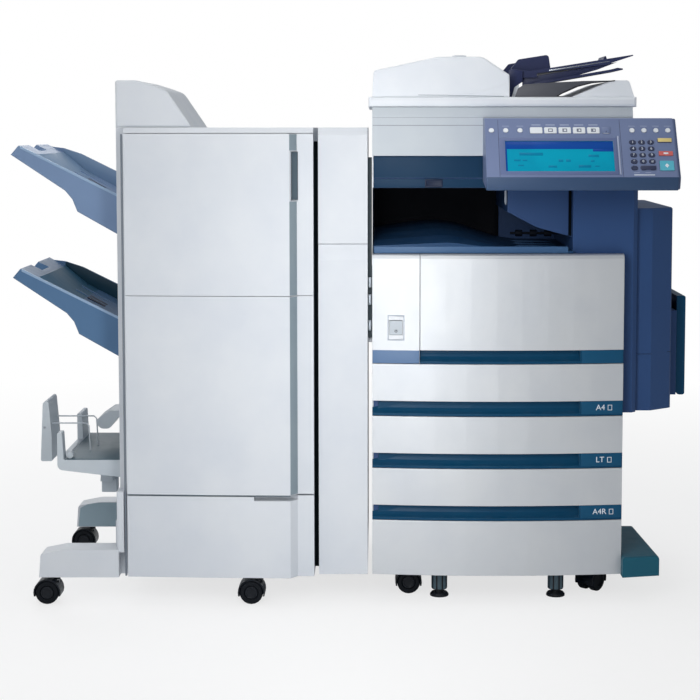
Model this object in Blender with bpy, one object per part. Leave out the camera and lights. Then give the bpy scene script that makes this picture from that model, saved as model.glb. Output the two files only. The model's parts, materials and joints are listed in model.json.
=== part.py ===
"""Floor-standing office copier with a document feeder, three paper drawers and a docked finisher.

Layout frame, in metres: X runs to the right from the left side of the copier, Y runs back from the
foremost point of its bowed front, and Z runs up from the floor. The root empty then puts the whole
machine over the origin. Every moving piece has its origin on the axis of its joint.
"""

import math

import bmesh
import bpy
from mathutils import Matrix, Vector

# Fits
SEAT = 0.0003
RUN = 0.0005
SEAM = 0.0012
WALL = 0.003

# Copier front
FRONT_WIDTH = 0.552
FRONT_BOW = 0.017
PANEL_DEPTH = 0.030
BODY_DEPTH = 0.600
BASE_BOTTOM = 0.063
BASE_HEIGHT = 0.1235
DRAWER_PITCH = 0.1162
GRIP_HEIGHT = 0.0325
GRIP_SCOOP = 0.016
GRIP_LENGTH = 0.456
COVER_GRIP_HEIGHT = 0.0295
COVER_HEIGHT = 0.2105
COVER_BEVEL = 0.010
SWITCH_PANEL_WIDTH = 0.105
COVER_RECESS = 0.012

# Copier body
COVER_WALL = 0.0025
COLUMN_WIDTH = 0.144
COLUMN_OVERHANG = 0.0345
COLUMN_SETBACK = 0.020
COLUMN_BOTTOM = 0.422
COLUMN_ROUND = 0.010
CAVITY_HEIGHT = 0.1445
CAVITY_DEPTH = 0.400
NECK_HEIGHT = 0.070
NECK_STEP = 0.020
EXIT_UNIT_LEFT = 0.300
EXIT_UNIT_SETBACK = 0.045
EXIT_UNIT_LOW = 0.111
EXIT_UNIT_HIGH = 0.055
LATCH_LEFT = 0.114
LATCH_WIDTH = 0.038

# Paper drawers
CASSETTE_SIDE = 0.014
CASSETTE_DEPTH = 0.470
CASSETTE_TOP = 0.016
CASSETTE_FLOOR = 0.006
CASSETTE_BACK = 0.052
SHELF = 0.004

# Engine pieces behind the front cover
ENGINE_RECESS = 0.022
ENGINE_MARGIN = 0.014
TONER_RADIUS = 0.048
TONER_LENGTH = 0.360
TONER_X = 0.400
TONER_DROP = 0.075
DRUM_RADIUS = 0.030
DRUM_LENGTH = 0.340
DRUM_X = 0.235
DRUM_DROP = 0.115
SHAFT_RADIUS = 0.006
SHAFT_LENGTH = 0.012

# Power switch
SWITCH_X = 0.052
SWITCH_DROP = 0.1615
SWITCH_BEZEL_WIDTH = 0.035
SWITCH_BEZEL_HEIGHT = 0.055
SWITCH_WIDTH = 0.028
SWITCH_HEIGHT = 0.032
SWITCH_DEPTH = 0.010

# Scanner
SCANNER_RIGHT = 0.567
SCANNER_FRONT = 0.020
SCANNER_HEIGHT = 0.1055
SCANNER_BEVEL = 0.018
GLASS_LEFT = 0.075
GLASS_WIDTH = 0.440
GLASS_FRONT = 0.075
GLASS_DEPTH = 0.305
GLASS_THICK = 0.004
GLASS_LEDGE = 0.008
WELL_DEPTH = 0.070
CARRIAGE_WIDTH = 0.060
CARRIAGE_HEIGHT = 0.045
RAIL_HEIGHT = 0.006
RAIL_WIDTH = 0.010

# Document feeder
LID_HEIGHT = 0.0215
LID_OVERHANG = 0.008
LID_GAP = 0.0008
LID_BEVEL = 0.006
LID_KNUCKLE = 0.005
LID_KNUCKLE_WIDTH = 0.040
LID_PIN = 0.0025
LID_CHEEK = 0.007
LID_CHEEK_DROP = 0.018
LID_HINGES = (0.11, 0.45)
LID_HILL_HEIGHT = 0.036
LID_HILL_WIDTH = 0.135
LID_HILL_SHOULDER = 0.012
LID_HILL_CREST = 0.045
FEEDER_WIDTH = 0.299
FEEDER_FRONT = 0.030
FEEDER_DEPTH = 0.440
FEEDER_SIDE_HEIGHT = 0.057
FEEDER_RISE = 0.087
FEEDER_SLOPE_START = 0.240
FEEDER_SLOPE_END_HEIGHT = 0.048
FEEDER_EDGE = 0.012
INPUT_TRAY_LENGTH = 0.268
INPUT_TRAY_TILT = math.radians(9.0)
INPUT_TRAY_THICK = 0.012
INPUT_TRAY_FRONT = 0.085
INPUT_TRAY_DEPTH = 0.330
INPUT_TRAY_LIFT = 0.052
INPUT_TRAY_START = 0.012
INPUT_TRAY_STOP = 0.009
TRAY_PIN = 0.004
TRAY_EAR = 0.008
TRAY_EAR_THICK = 0.007
GUIDE_LENGTH = 0.086
GUIDE_HEIGHT = 0.030
GUIDE_THICK = 0.016
GUIDE_INSET = 0.030
GUIDE_TRACK = 0.004

# Control panel, seen on its tilted face: U runs right, V runs up the face
PANEL_LEFT = 0.241
PANEL_WIDTH = 0.405
PANEL_TOP = 0.024
PANEL_FACE = 0.150
PANEL_TILT = math.radians(33.0)
PANEL_TOP_FRONT = 0.030
PANEL_LIP = 0.026
PANEL_CORNER = 0.008
SCREEN_U = 0.041
SCREEN_V = 0.016
SCREEN_WIDTH = 0.230
SCREEN_HEIGHT = 0.076
SCREEN_DEPTH = 0.004
SCREEN_THICK = 0.003
PANEL_SKIN = 0.0012
KEY_POCKET = 0.0034
KEY_TRAVEL = 0.0012
MAT_THICK = 0.0012
MAT_MARGIN = 0.0015
KEY_STAND = 0.0014
KEY_PITCH_U = 0.0192
KEY_PITCH_V = 0.0160
KEY_SIZE_U = 0.0130
KEY_SIZE_V = 0.0098
KEY_COLUMNS = 3
KEY_ROWS = 5
KEYPAD_U = 0.3125
KEYPAD_V = 0.0245
FUNCTION_V = 0.1185
FUNCTION_U = 0.109
FUNCTION_PITCH = 0.0305
FUNCTION_KEYS = 5
FUNCTION_SIZE_U = 0.0260
FUNCTION_SIZE_V = 0.0150
SQUARE_KEY_GAP = 0.027
SQUARE_KEY = 0.0150
ROUND_KEY = 0.0110
ROUND_KEYS_LEFT = 0.0135
ROUND_KEYS_RIGHT = 0.3135
ROUND_PITCH_LEFT = 0.0305
ROUND_PITCH_RIGHT = 0.0255
ROUND_COUNT_LEFT = 3
ROUND_COUNT_RIGHT = 4
START_U = 0.366
START_V = 0.018
START_SIZE_U = 0.030
START_SIZE_V = 0.024
STOP_V = 0.055
STOP_SIZE_V = 0.011
CLEAR_V = 0.0885
CLEAR_SIZE_V = 0.0100

# Right side
SIDE_ROUND = 0.012
SIDE_BACK_ROUND = 0.010
SIDE_WIDTH = 0.087
SIDE_FRONT = 0.072
SIDE_DEPTH = 0.420
SIDE_BOTTOM = 0.420
SIDE_HEIGHT = 0.453
SIDE_CHAMFER = 0.040
SIDE_BULGE = 0.022
BYPASS_BOTTOM = 0.440
BYPASS_HEIGHT = 0.228
BYPASS_THICK = 0.020
BYPASS_FRONT = 0.170
BYPASS_DEPTH = 0.300
BYPASS_PIN = 0.005
STABILISER_LENGTH = 0.084
STABILISER_FRONT = -0.005
STABILISER_DEPTH = 0.300
STABILISER_BOTTOM = 0.060
STABILISER_HEIGHT = 0.044
STABILISER_SWEEP = 0.018
STABILISER_TAPER = 0.015

# Feet and casters
WHEEL_EDGE = 0.0025
WHEEL_RADIUS = 0.026
WHEEL_WIDTH = 0.017
AXLE_RADIUS = 0.004
HOOD_WEB = 0.010
HOOD_WALL = 0.003
HOOD_SKIRT = 0.008
CASTER_TRAIL = 0.019
STEM_RADIUS = 0.007
FOOT_RADIUS = 0.021
FOOT_HEIGHT = 0.008
FOOT_STEM_RADIUS = 0.017
FOOT_BACK = 0.070
FOOT_LEFT = 0.151
FOOT_SPACING = 0.262
CASTER_BACK = 0.100
CASTER_LEFT = 0.082
CASTER_RIGHT = 0.066
CASTER_TURN = math.radians(50.0)
CASTER_REAR = 0.085
FIXED_LIFT = 0.0004

# Finisher body
FINISHER_GAP = 0.128
FINISHER_WIDTH = 0.430
FINISHER_FRONT = -0.020
FINISHER_SWEEP = 0.015
FINISHER_DEPTH = 0.590
FINISHER_BOTTOM = 0.063
FINISHER_TOP = 1.051
FINISHER_CAP = 0.012
FINISHER_SIDE = 0.019
DOOR_BACK = 0.020
DOOR_SPLIT = 0.685
DOOR_BOTTOM = 0.245
DOOR_STRIP = 0.036
DOOR_CHAMFER = 0.015
DOOR_STEP = 0.018
HANDLE_TOP = 1.000
HANDLE_HEIGHT = 0.107
HANDLE_DEPTH = 0.012
NOTCH_LENGTH = 0.095
NOTCH_HEIGHT = 0.009
INNER_DEPTH = 0.050
INNER_MARGIN = 0.024
KNOB_RADIUS = 0.017
KNOB_HEIGHT = 0.026

# Hood on the finisher
HOOD_TOP = 0.102
HOOD_WIDTH = 0.166
HOOD_FLAT = 0.046
HOOD_STEP = 0.010
HOOD_SOFT = 0.009
HOOD_FALL = 0.054
HOOD_ROUND = 0.030
HOOD_FRONT = 0.015
HOOD_DEPTH = 0.330

# Punch unit between the finisher and the copier
PUNCH_WIDTH = 0.108
PUNCH_GAP = 0.0100
PUNCH_FRONT = 0.015
PUNCH_DEPTH = 0.530
FLANGE_INSET = 0.030
PUNCH_SEAM = 0.798
PUNCH_BAND = 0.036
PUNCH_BEVEL = 0.016

# Stack trays
TRAY_LENGTH = 0.250
TRAY_FRONT = 0.110
TRAY_WIDTH = 0.330
TRAY_SLOPE = math.radians(26.5)
TRAY_WALL = 0.006
TRAY_DEEP = 0.090
TRAY_TIP = 0.029
TRAY_CROWN = 0.018
TRAY_RAIL = 0.008
TRAY_RAIL_HEIGHT = 0.004
TRAY_RAILS = 3
TRAY_KNEE = 0.108
TRAY_WELL = 0.026
TRAY_FLOOR = 0.005
UPPER_TRAY_Z = 0.895
LOWER_TRAY_Z = 0.619
HOOK_WIDTH = 0.020
HOOK_REACH = 0.016
HOOK_HEIGHT = 0.050
SLOT_LOW = 0.400
SLOT_HIGH = 0.985

# Saddle tray and legs
SADDLE_LENGTH = 0.148
SADDLE_FRONT = 0.070
SADDLE_WIDTH = 0.330
SADDLE_FLOOR = 0.308
SADDLE_POST_THICK = 0.011
SADDLE_CORNER = 0.012
SADDLE_GAP_FRONT = 0.030
SADDLE_GAP_BACK = 0.080
SADDLE_BRACKET = 0.028
SADDLE_BRACKET_INSET = 0.034
SADDLE_BRACKET_DEPTH = 0.060
SADDLE_POST = 0.062
SADDLE_THICK = 0.022
PADDLE_WIDTH = 0.100
PADDLE_THICK = 0.026
PADDLE_HEIGHT = 0.146
PADDLE_BOTTOM = 0.287
WIRE_RADIUS = 0.0016
WIRE_HEIGHT = 0.070
WIRE_REACH = 0.090
FLAPPER_LENGTH = 0.084
FLAPPER_WIDTH = 0.090
FLAPPER_Z = 0.392
FLAPPER_ROOT = 0.007
LEG_REACH = 0.178
LEG_HEIGHT = 0.062
LEG_WIDTH = 0.060
LEG_FRONT = -0.012
LEG_TOE = 0.006
LEG_ARCH = 0.055
LEG_BACK = 0.122
LEG_PLATE = 0.010
LEG_PLATE_HEIGHT = 0.120

# Power inlet and exit tray
INLET_X = 0.480
INLET_Z = 0.130
INLET_WIDTH = 0.030
INLET_HEIGHT = 0.023
INLET_DEPTH = 0.018
INLET_CORNER = 0.004
EXIT_LOW = 0.006
EXIT_HIGH = 0.058
EXIT_ROUND = 0.25
SWITCH_THROW = math.radians(12.0)
SIDE_SPLIT = 0.28

WHITE = (0.80, 0.83, 0.87)
NAVY = (0.030, 0.065, 0.160)
TEAL = (0.010, 0.070, 0.150)
STEEL_BLUE = (0.12, 0.21, 0.40)
SLATE = (0.20, 0.26, 0.42)
GREY = (0.38, 0.45, 0.53)
BLACK = (0.012, 0.016, 0.022)

# Heights and places worked out from the sizes above
BASE_TOP = BASE_BOTTOM + BASE_HEIGHT
DRAWERS = 3
DRAWER_TOP = BASE_TOP + DRAWERS * DRAWER_PITCH
COVER_BOTTOM = DRAWER_TOP + COVER_GRIP_HEIGHT
COVER_TOP = COVER_BOTTOM + COVER_HEIGHT
NECK_BOTTOM = COVER_TOP + CAVITY_HEIGHT
NECK_TOP = NECK_BOTTOM + NECK_HEIGHT
SCANNER_TOP = NECK_TOP + SCANNER_HEIGHT
LID_BOTTOM = SCANNER_TOP + LID_GAP
LID_TOP = LID_BOTTOM + LID_HEIGHT
FRAME_FRONT = PANEL_DEPTH + SEAT
COLUMN_RIGHT = FRONT_WIDTH + COLUMN_OVERHANG
COLUMN_LEFT = COLUMN_RIGHT - COLUMN_WIDTH
COLUMN_FRONT = FRAME_FRONT + COLUMN_SETBACK
FINISHER_RIGHT = -FINISHER_GAP
FINISHER_LEFT = FINISHER_RIGHT - FINISHER_WIDTH
FINISHER_BACK = FINISHER_FRONT + FINISHER_DEPTH
LEG_SPACING = FINISHER_BACK - LEG_BACK - LEG_FRONT
DOOR_LEFT = FINISHER_LEFT + FINISHER_SIDE
TRAY_TIP_X = FINISHER_LEFT - TRAY_LENGTH
SIDE_LEFT = COLUMN_RIGHT + SEAT
SIDE_RIGHT = SIDE_LEFT + SIDE_WIDTH
BYPASS_RIGHT = SIDE_RIGHT + SIDE_BULGE + SEAT + BYPASS_THICK
PANEL_TOP_Z = SCANNER_TOP - PANEL_TOP
PANEL_BOTTOM_Z = PANEL_TOP_Z - PANEL_FACE * math.cos(PANEL_TILT)
PANEL_FRONT = -PANEL_TOP_FRONT - PANEL_FACE * math.sin(PANEL_TILT)
CUT = 0.5

CENTRE_X = (TRAY_TIP_X + BYPASS_RIGHT) / 2
CENTRE_Y = (PANEL_FRONT + BODY_DEPTH + LID_KNUCKLE) / 2


# Modelling helpers

def outline(corners, steps=4):
    """Closed outline from (u, v, fillet radius) corners."""
    points = []
    count = len(corners)
    for index, (u, v, radius) in enumerate(corners):
        here = Vector((u, v))
        if radius <= 0:
            points.append(here)
            continue
        before = (Vector(corners[index - 1][:2]) - here).normalized()
        after = (Vector(corners[(index + 1) % count][:2]) - here).normalized()
        half = before.angle(after) / 2
        centre = here + (before + after).normalized() * (radius / math.sin(half))
        start = here + before * (radius / math.tan(half)) - centre
        end = here + after * (radius / math.tan(half)) - centre
        turn = math.pi - 2 * half
        for step in range(steps + 1):
            part = step / steps
            mix = start * math.sin((1 - part) * turn) + end * math.sin(part * turn)
            points.append(centre + mix / math.sin(turn))
    return points


def circle(u, v, radius, steps=20):
    """Round outline about a centre."""
    turns = [2 * math.pi * step / steps for step in range(steps)]
    return [Vector((u + radius * math.cos(turn), v + radius * math.sin(turn))) for turn in turns]


def rectangle(u, v, radius=0.0, steps=4):
    """Outline of a rectangle given as two (low, high) spans, with rounded corners."""
    corners = [(u[0], v[0], radius), (u[1], v[0], radius), (u[1], v[1], radius), (u[0], v[1], radius)]
    return outline(corners, steps)


def loft(sections):
    """Closed bmesh through loops that have the same number of points."""
    bm = bmesh.new()
    loops = [[bm.verts.new(point) for point in section] for section in sections]
    bm.faces.new(loops[0])
    bm.faces.new(loops[-1])
    count = len(loops[0])
    for first, second in zip(loops, loops[1:]):
        for index in range(count):
            other = (index + 1) % count
            bm.faces.new((first[index], first[other], second[other], second[index]))
    bmesh.ops.recalc_face_normals(bm, faces=bm.faces)
    return bm


def lift(point, axis, height):
    """Point of an outline at a height along the axis that the outline is square to."""
    if axis == "X":
        return Vector((height, point[0], point[1]))
    if axis == "Y":
        return Vector((point[0], height, point[1]))
    return Vector((point[0], point[1], height))


def prism(points, axis, low, high):
    """Outline extruded along an axis."""
    return loft([[lift(point, axis, height) for point in points] for height in (low, high)])


def box(x, y, z):
    """Box from three (low, high) spans."""
    return prism(rectangle(x, y), "Z", *z)


def turned(profile, axis, centre, steps=24):
    """Solid turned from (radius, height) points about an axis through a centre."""
    sections = []
    for radius, height in profile:
        ring = circle(0, 0, radius, steps)
        sections.append([lift(point, axis, height) + Vector(centre) for point in ring])
    return loft(sections)


def bow(x):
    """Depth of the bowed front at a place across it."""
    side = (x - FRONT_WIDTH / 2) / (FRONT_WIDTH / 2)
    return FRONT_BOW * side * side


def bowed(profile, x, steps=8):
    """Profile of (depth, height, follow) points swept across the bowed front."""
    sections = []
    for step in range(steps + 1):
        place = x[0] + (x[1] - x[0]) * step / steps
        sections.append([Vector((place, y + follow * bow(place), z)) for y, z, follow in profile])
    return loft(sections)


def soften(bm, width, segments, chosen):
    """Bevel the edges that a test picks."""
    edges = [edge for edge in bm.edges if chosen(edge)]
    bmesh.ops.bevel(bm, geom=edges, offset=width, segments=segments, profile=0.5, affect="EDGES",
                    clamp_overlap=True)
    return bm


def edges_at(axis, place):
    """Test that picks the edges lying on a plane."""
    number = "XYZ".index(axis)
    return lambda edge: all(abs(vert.co[number] - place) < 1e-6 for vert in edge.verts)


def solid(bm):
    """Object that holds a bmesh."""
    mesh = bpy.data.meshes.new("shape")
    bm.to_mesh(mesh)
    bm.free()
    thing = bpy.data.objects.new("shape", mesh)
    bpy.context.scene.collection.objects.link(thing)
    return thing


def combine(base, operation, *tools):
    """Boolean of a solid with one or more tools, which are used up."""
    thing = base if isinstance(base, bpy.types.Object) else solid(base)
    for tool in tools:
        other = tool if isinstance(tool, bpy.types.Object) else solid(tool)
        modifier = thing.modifiers.new("combine", "BOOLEAN")
        modifier.operation = operation
        modifier.solver = "EXACT"
        modifier.object = other
        graph = bpy.context.evaluated_depsgraph_get()
        mesh = bpy.data.meshes.new_from_object(thing.evaluated_get(graph))
        thing.modifiers.clear()
        thing.data = mesh
        bpy.data.objects.remove(other, do_unlink=True)
    return thing


def cut(base, *tools):
    """Solid with tools taken away."""
    return combine(base, "DIFFERENCE", *tools)


def fuse(base, *tools):
    """Solid joined with tools that overlap it."""
    return combine(base, "UNION", *tools)


def finish(name, colour, roughness=0.5, metallic=0.0):
    """Principled material of one piece."""
    material = bpy.data.materials.new(name)
    material.use_nodes = True
    shader = material.node_tree.nodes["Principled BSDF"]
    shader.inputs["Base Color"].default_value = (*colour, 1.0)
    shader.inputs["Roughness"].default_value = roughness
    shader.inputs["Metallic"].default_value = metallic
    return material


def piece(name, shape, colour, pivot=(0, 0, 0), roughness=0.5, metallic=0.0, parent=None):
    """Named piece with its origin at a pivot of the layout frame."""
    thing = shape if isinstance(shape, bpy.types.Object) else solid(shape)
    thing.name = name
    thing.data.name = name
    thing.data.transform(Matrix.Translation(-Vector(pivot)))
    thing.data.materials.clear()
    thing.data.materials.append(finish(name, colour, roughness, metallic))
    thing.data.shade_smooth()
    thing.data.set_sharp_from_angle(angle=math.radians(35))
    thing.location = pivot
    thing.parent = parent or ROOT
    return thing


def frame(name, place, turn=(0, 0, 0), parent=None):
    """Empty that carries pieces."""
    empty = bpy.data.objects.new(name, None)
    bpy.context.scene.collection.objects.link(empty)
    empty.location = place
    empty.rotation_euler = turn
    empty.parent = parent
    return empty


# Copier body

def body_outline(side, bottom, top):
    """Front view of the cabinet and the wider engine above it, drawn in by a side margin."""
    right = FRONT_WIDTH - side
    step = COLUMN_BOTTOM - side
    return [(side, bottom), (right, bottom), (right, step), (COLUMN_RIGHT, step), (COLUMN_RIGHT, top),
            (side, top)]


def drawer_bottom(number):
    """Height of the lower edge of a drawer, counted from the top."""
    return DRAWER_TOP - number * DRAWER_PITCH


def bay(number):
    """Space in the chassis for one cassette."""
    low = drawer_bottom(number) + SHELF
    high = drawer_bottom(number) + DRAWER_PITCH - CASSETTE_TOP + SHELF
    side = CASSETTE_SIDE - RUN
    back = FRAME_FRONT + CASSETTE_DEPTH + RUN
    return box((side, FRONT_WIDTH - side), (FRAME_FRONT - CUT, back), (low, high))


def engine_cuts():
    """Recess behind the front cover, with the bores of the toner bottle and the drum."""
    left = SWITCH_PANEL_WIDTH + ENGINE_MARGIN
    right = FRONT_WIDTH - ENGINE_MARGIN
    back = FRAME_FRONT + ENGINE_RECESS
    recess = box((left, right), (FRAME_FRONT - CUT, back),
                 (COVER_BOTTOM + ENGINE_MARGIN, COVER_TOP - ENGINE_MARGIN))
    toner = prism(circle(TONER_X, COVER_TOP - TONER_DROP, TONER_RADIUS + RUN, 28), "Y",
                  FRAME_FRONT, back + TONER_LENGTH + RUN)
    drum = prism(circle(DRUM_X, COVER_TOP - DRUM_DROP, DRUM_RADIUS + RUN), "Y",
                 FRAME_FRONT, back + DRUM_LENGTH + RUN)
    return recess, toner, drum


def exit_cavity():
    """Space above the engine where printed sheets come to rest, open at the front and the left."""
    corners = [(-CUT, COVER_TOP, 0), (COLUMN_LEFT, COVER_TOP, 0), (COLUMN_LEFT, NECK_BOTTOM, 0),
               (-CUT, NECK_BOTTOM, 0)]
    return prism(outline(corners), "Y", FRAME_FRONT - CUT, FRAME_FRONT + CAVITY_DEPTH)


def exit_unit():
    """Paper outlet that hangs from the roof of the cavity beside the column, with a swept lower edge."""
    high = NECK_BOTTOM + WALL
    right = COLUMN_LEFT + WALL
    low = NECK_BOTTOM - EXIT_UNIT_LOW
    edge = NECK_BOTTOM - EXIT_UNIT_HIGH
    width = right - EXIT_UNIT_LEFT
    corners = [(EXIT_UNIT_LEFT, high, 0), (EXIT_UNIT_LEFT, edge, 0),
               (EXIT_UNIT_LEFT + width * 0.45, edge - (edge - low) * 0.62, width * 0.8), (right, low, 0),
               (right, high, 0)]
    return prism(outline(corners, 4), "Y", FRAME_FRONT + EXIT_UNIT_SETBACK, FRAME_FRONT + CAVITY_DEPTH + WALL)


def column_cuts():
    """Set-back front of the right column, above the cover and beside it."""
    beside = outline([(FRONT_WIDTH + SEAM, FRAME_FRONT - CUT, 0), (COLUMN_RIGHT + CUT, FRAME_FRONT - CUT, 0),
                      (COLUMN_RIGHT + CUT, COLUMN_FRONT + COLUMN_ROUND, 0),
                      (COLUMN_RIGHT, COLUMN_FRONT + COLUMN_ROUND, 0),
                      (COLUMN_RIGHT - COLUMN_ROUND, COLUMN_FRONT, 0), (FRONT_WIDTH + SEAM, COLUMN_FRONT, 0)])
    above = box((COLUMN_LEFT, FRONT_WIDTH + SEAM * 2), (FRAME_FRONT - CUT, COLUMN_FRONT),
                (COVER_TOP, NECK_BOTTOM))
    return above, prism(beside, "Z", 0, NECK_BOTTOM)


def neck_cuts():
    """Step line along the frame below the scanner, with its latch pocket."""
    line = box((-CUT, PANEL_LEFT), (FRAME_FRONT - CUT, FRAME_FRONT + WALL),
               (NECK_BOTTOM + NECK_STEP, NECK_BOTTOM + NECK_STEP + SEAM))
    latch = box((LATCH_LEFT, LATCH_LEFT + LATCH_WIDTH), (FRAME_FRONT - CUT, FRAME_FRONT + 2 * WALL),
                (NECK_BOTTOM - CUT / 10, NECK_BOTTOM + NECK_STEP))
    return line, latch


def rear_caster_places():
    """Places of the two fixed casters under the back of the copier."""
    depth = BODY_DEPTH - CASTER_REAR
    return [(CASTER_LEFT, depth), (FRONT_WIDTH - CASTER_RIGHT, depth)]


def rear_bracket(x, y):
    """Plate below the chassis that holds the axle of a fixed caster."""
    half = WHEEL_RADIUS * 0.7
    top = BASE_BOTTOM + 2 * WALL
    plate = prism(rectangle((x - half, x + half), (WHEEL_RADIUS - AXLE_RADIUS * 2, top)), "Y",
                  y - HOOD_WEB / 2, y + HOOD_WEB / 2)
    hole = prism(circle(x, WHEEL_RADIUS, AXLE_RADIUS + RUN, 12), "Y", y - HOOD_WEB, y + HOOD_WEB)
    return cut(plate, hole)


def make_chassis():
    """Main frame of the copier, with its bays, engine recess, exit cavity and right column."""
    side = COVER_WALL + SEAT
    back = BODY_DEPTH - COVER_WALL - SEAT
    block = prism(body_outline(side, BASE_BOTTOM + SEAM, NECK_TOP - SEAT), "Y", FRAME_FRONT, back)
    tools = [bay(number + 1) for number in range(DRAWERS)]
    tools += [*engine_cuts(), exit_cavity(), *column_cuts(), *neck_cuts(), inlet_socket()]
    frame_body = cut(block, *tools)
    frame_body = fuse(frame_body, exit_unit(), *[rear_bracket(*place) for place in rear_caster_places()])
    piece("copier_chassis", frame_body, NAVY)


def inlet_socket():
    """Socket for the mains lead, low on the back."""
    across = (INLET_X - INLET_WIDTH / 2, INLET_X + INLET_WIDTH / 2)
    upright = (INLET_Z - INLET_HEIGHT / 2, INLET_Z + INLET_HEIGHT / 2)
    return prism(rectangle(across, upright, INLET_CORNER, 2), "Y", BODY_DEPTH - INLET_DEPTH, BODY_DEPTH + CUT)


def make_rear_cover():
    """Pale cover round the left side, the back and the lower right side."""
    step = COLUMN_BOTTOM - COVER_WALL - 2 * SEAT
    outer = [(0, BASE_BOTTOM), (FRONT_WIDTH, BASE_BOTTOM), (FRONT_WIDTH, step), (COLUMN_RIGHT, step),
             (COLUMN_RIGHT, NECK_TOP - SEAT), (0, NECK_TOP - SEAT)]
    right = FRONT_WIDTH - COVER_WALL
    inner = [(COVER_WALL, -CUT), (right, -CUT), (right, step), (COLUMN_RIGHT + CUT, step),
             (COLUMN_RIGHT + CUT, NECK_TOP + CUT), (COVER_WALL, NECK_TOP + CUT)]
    shell = cut(prism(outer, "Y", FRAME_FRONT, BODY_DEPTH),
                prism(inner, "Y", FRAME_FRONT - CUT, BODY_DEPTH - COVER_WALL),
                exit_cavity())
    piece("rear_cover", cut(shell, inlet_socket()), WHITE)


# Front panels

def panel_profile(bottom, top, bevel):
    """Side view of a white front panel with a rounded-off top."""
    return [(0, bottom, 1), (0, top - bevel, 1), (bevel * 0.35, top - bevel * 0.25, 1), (bevel, top, 1),
            (PANEL_DEPTH, top, 0), (PANEL_DEPTH, bottom, 0)]


def grip_profile(bottom, top):
    """Side view of a plain blue strip."""
    return [(0, bottom, 1), (0, top, 1), (PANEL_DEPTH, top, 0), (PANEL_DEPTH, bottom, 0)]


def scoop(x, bottom, top):
    """Finger hollow along a blue strip, deepest under the panel above it."""
    height = top - bottom
    profile = [(-CUT, top + height, 1), (GRIP_SCOOP, top + height, 1), (GRIP_SCOOP, top - height * 0.25, 1),
               (GRIP_SCOOP * 0.8, top - height * 0.5, 1), (GRIP_SCOOP * 0.45, top - height * 0.7, 1),
               (0, bottom + height * 0.16, 1), (-CUT, bottom + height * 0.16, 1)]
    return bowed(profile, x)


def make_fixed_fronts():
    """Kick panel and the switch panel beside the front cover."""
    span = (0, FRONT_WIDTH)
    piece("base_panel", bowed(panel_profile(BASE_BOTTOM, BASE_TOP - SEAM, SEAM), span), WHITE)
    side = (0, SWITCH_PANEL_WIDTH - SEAM)
    panel = solid(bowed(panel_profile(DRAWER_TOP, COVER_TOP, COVER_BEVEL), side, 4))
    middle = COVER_TOP - SWITCH_DROP
    face = bow(SWITCH_X)
    bezel = box((SWITCH_X - SWITCH_BEZEL_WIDTH / 2, SWITCH_X + SWITCH_BEZEL_WIDTH / 2),
                (-CUT, face + WALL), (middle - SWITCH_BEZEL_HEIGHT / 2, middle + SWITCH_BEZEL_HEIGHT / 2))
    well = box((SWITCH_X - SWITCH_WIDTH / 2 - RUN, SWITCH_X + SWITCH_WIDTH / 2 + RUN),
               (-CUT, face + WALL + SWITCH_DEPTH),
               (middle - SWITCH_HEIGHT / 2 - RUN, middle + SWITCH_HEIGHT / 2 + RUN))
    piece("switch_panel", cut(panel, bezel, well), WHITE)
    make_switch(middle, face + WALL)


def make_switch(middle, face):
    """Rocker that turns about a cross axis, with one half pressed in."""
    half = SWITCH_HEIGHT / 2
    dip = half * math.tan(SWITCH_THROW / 2)
    swing = SWITCH_THROW / 2
    stand = 0.5 * SWITCH_DEPTH
    corners = [(face + dip, middle - half, 0), (face + dip * 0.2, middle, 0),
               (face - dip * 0.6, middle + half * 0.94, 0),
               (face + stand, middle + half * math.cos(swing), 0), (face + SWITCH_DEPTH - RUN, middle, 0),
               (face + stand, middle - half * math.cos(swing), 0)]
    rocker = prism(outline(corners), "X", SWITCH_X - SWITCH_WIDTH / 2, SWITCH_X + SWITCH_WIDTH / 2)
    piece("power_switch", rocker, GREY, (SWITCH_X, face + stand, middle))


def make_front_cover():
    """Front cover with its grip strip, hinged at its left edge."""
    span = (SWITCH_PANEL_WIDTH, FRONT_WIDTH)
    hinge = cover_hinge()
    panel = solid(bowed(panel_profile(COVER_BOTTOM, COVER_TOP, COVER_BEVEL), span))
    hollow = box((span[0] + COVER_RECESS, span[1] - COVER_RECESS),
                 (PANEL_DEPTH - COVER_RECESS, PANEL_DEPTH + CUT),
                 (COVER_BOTTOM + COVER_RECESS, COVER_TOP - 2 * COVER_RECESS))
    piece("front_cover", cut(panel, hollow), WHITE, hinge)
    low, high = DRAWER_TOP, COVER_BOTTOM - SEAT
    strip = cut(bowed(grip_profile(low, high), span), scoop((span[0] - CUT, GRIP_LENGTH), low, high))
    piece("front_cover_grip", strip, TEAL, hinge)


def cover_hinge():
    """Front left corner of the front cover."""
    return SWITCH_PANEL_WIDTH, bow(SWITCH_PANEL_WIDTH), COVER_BOTTOM


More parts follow.
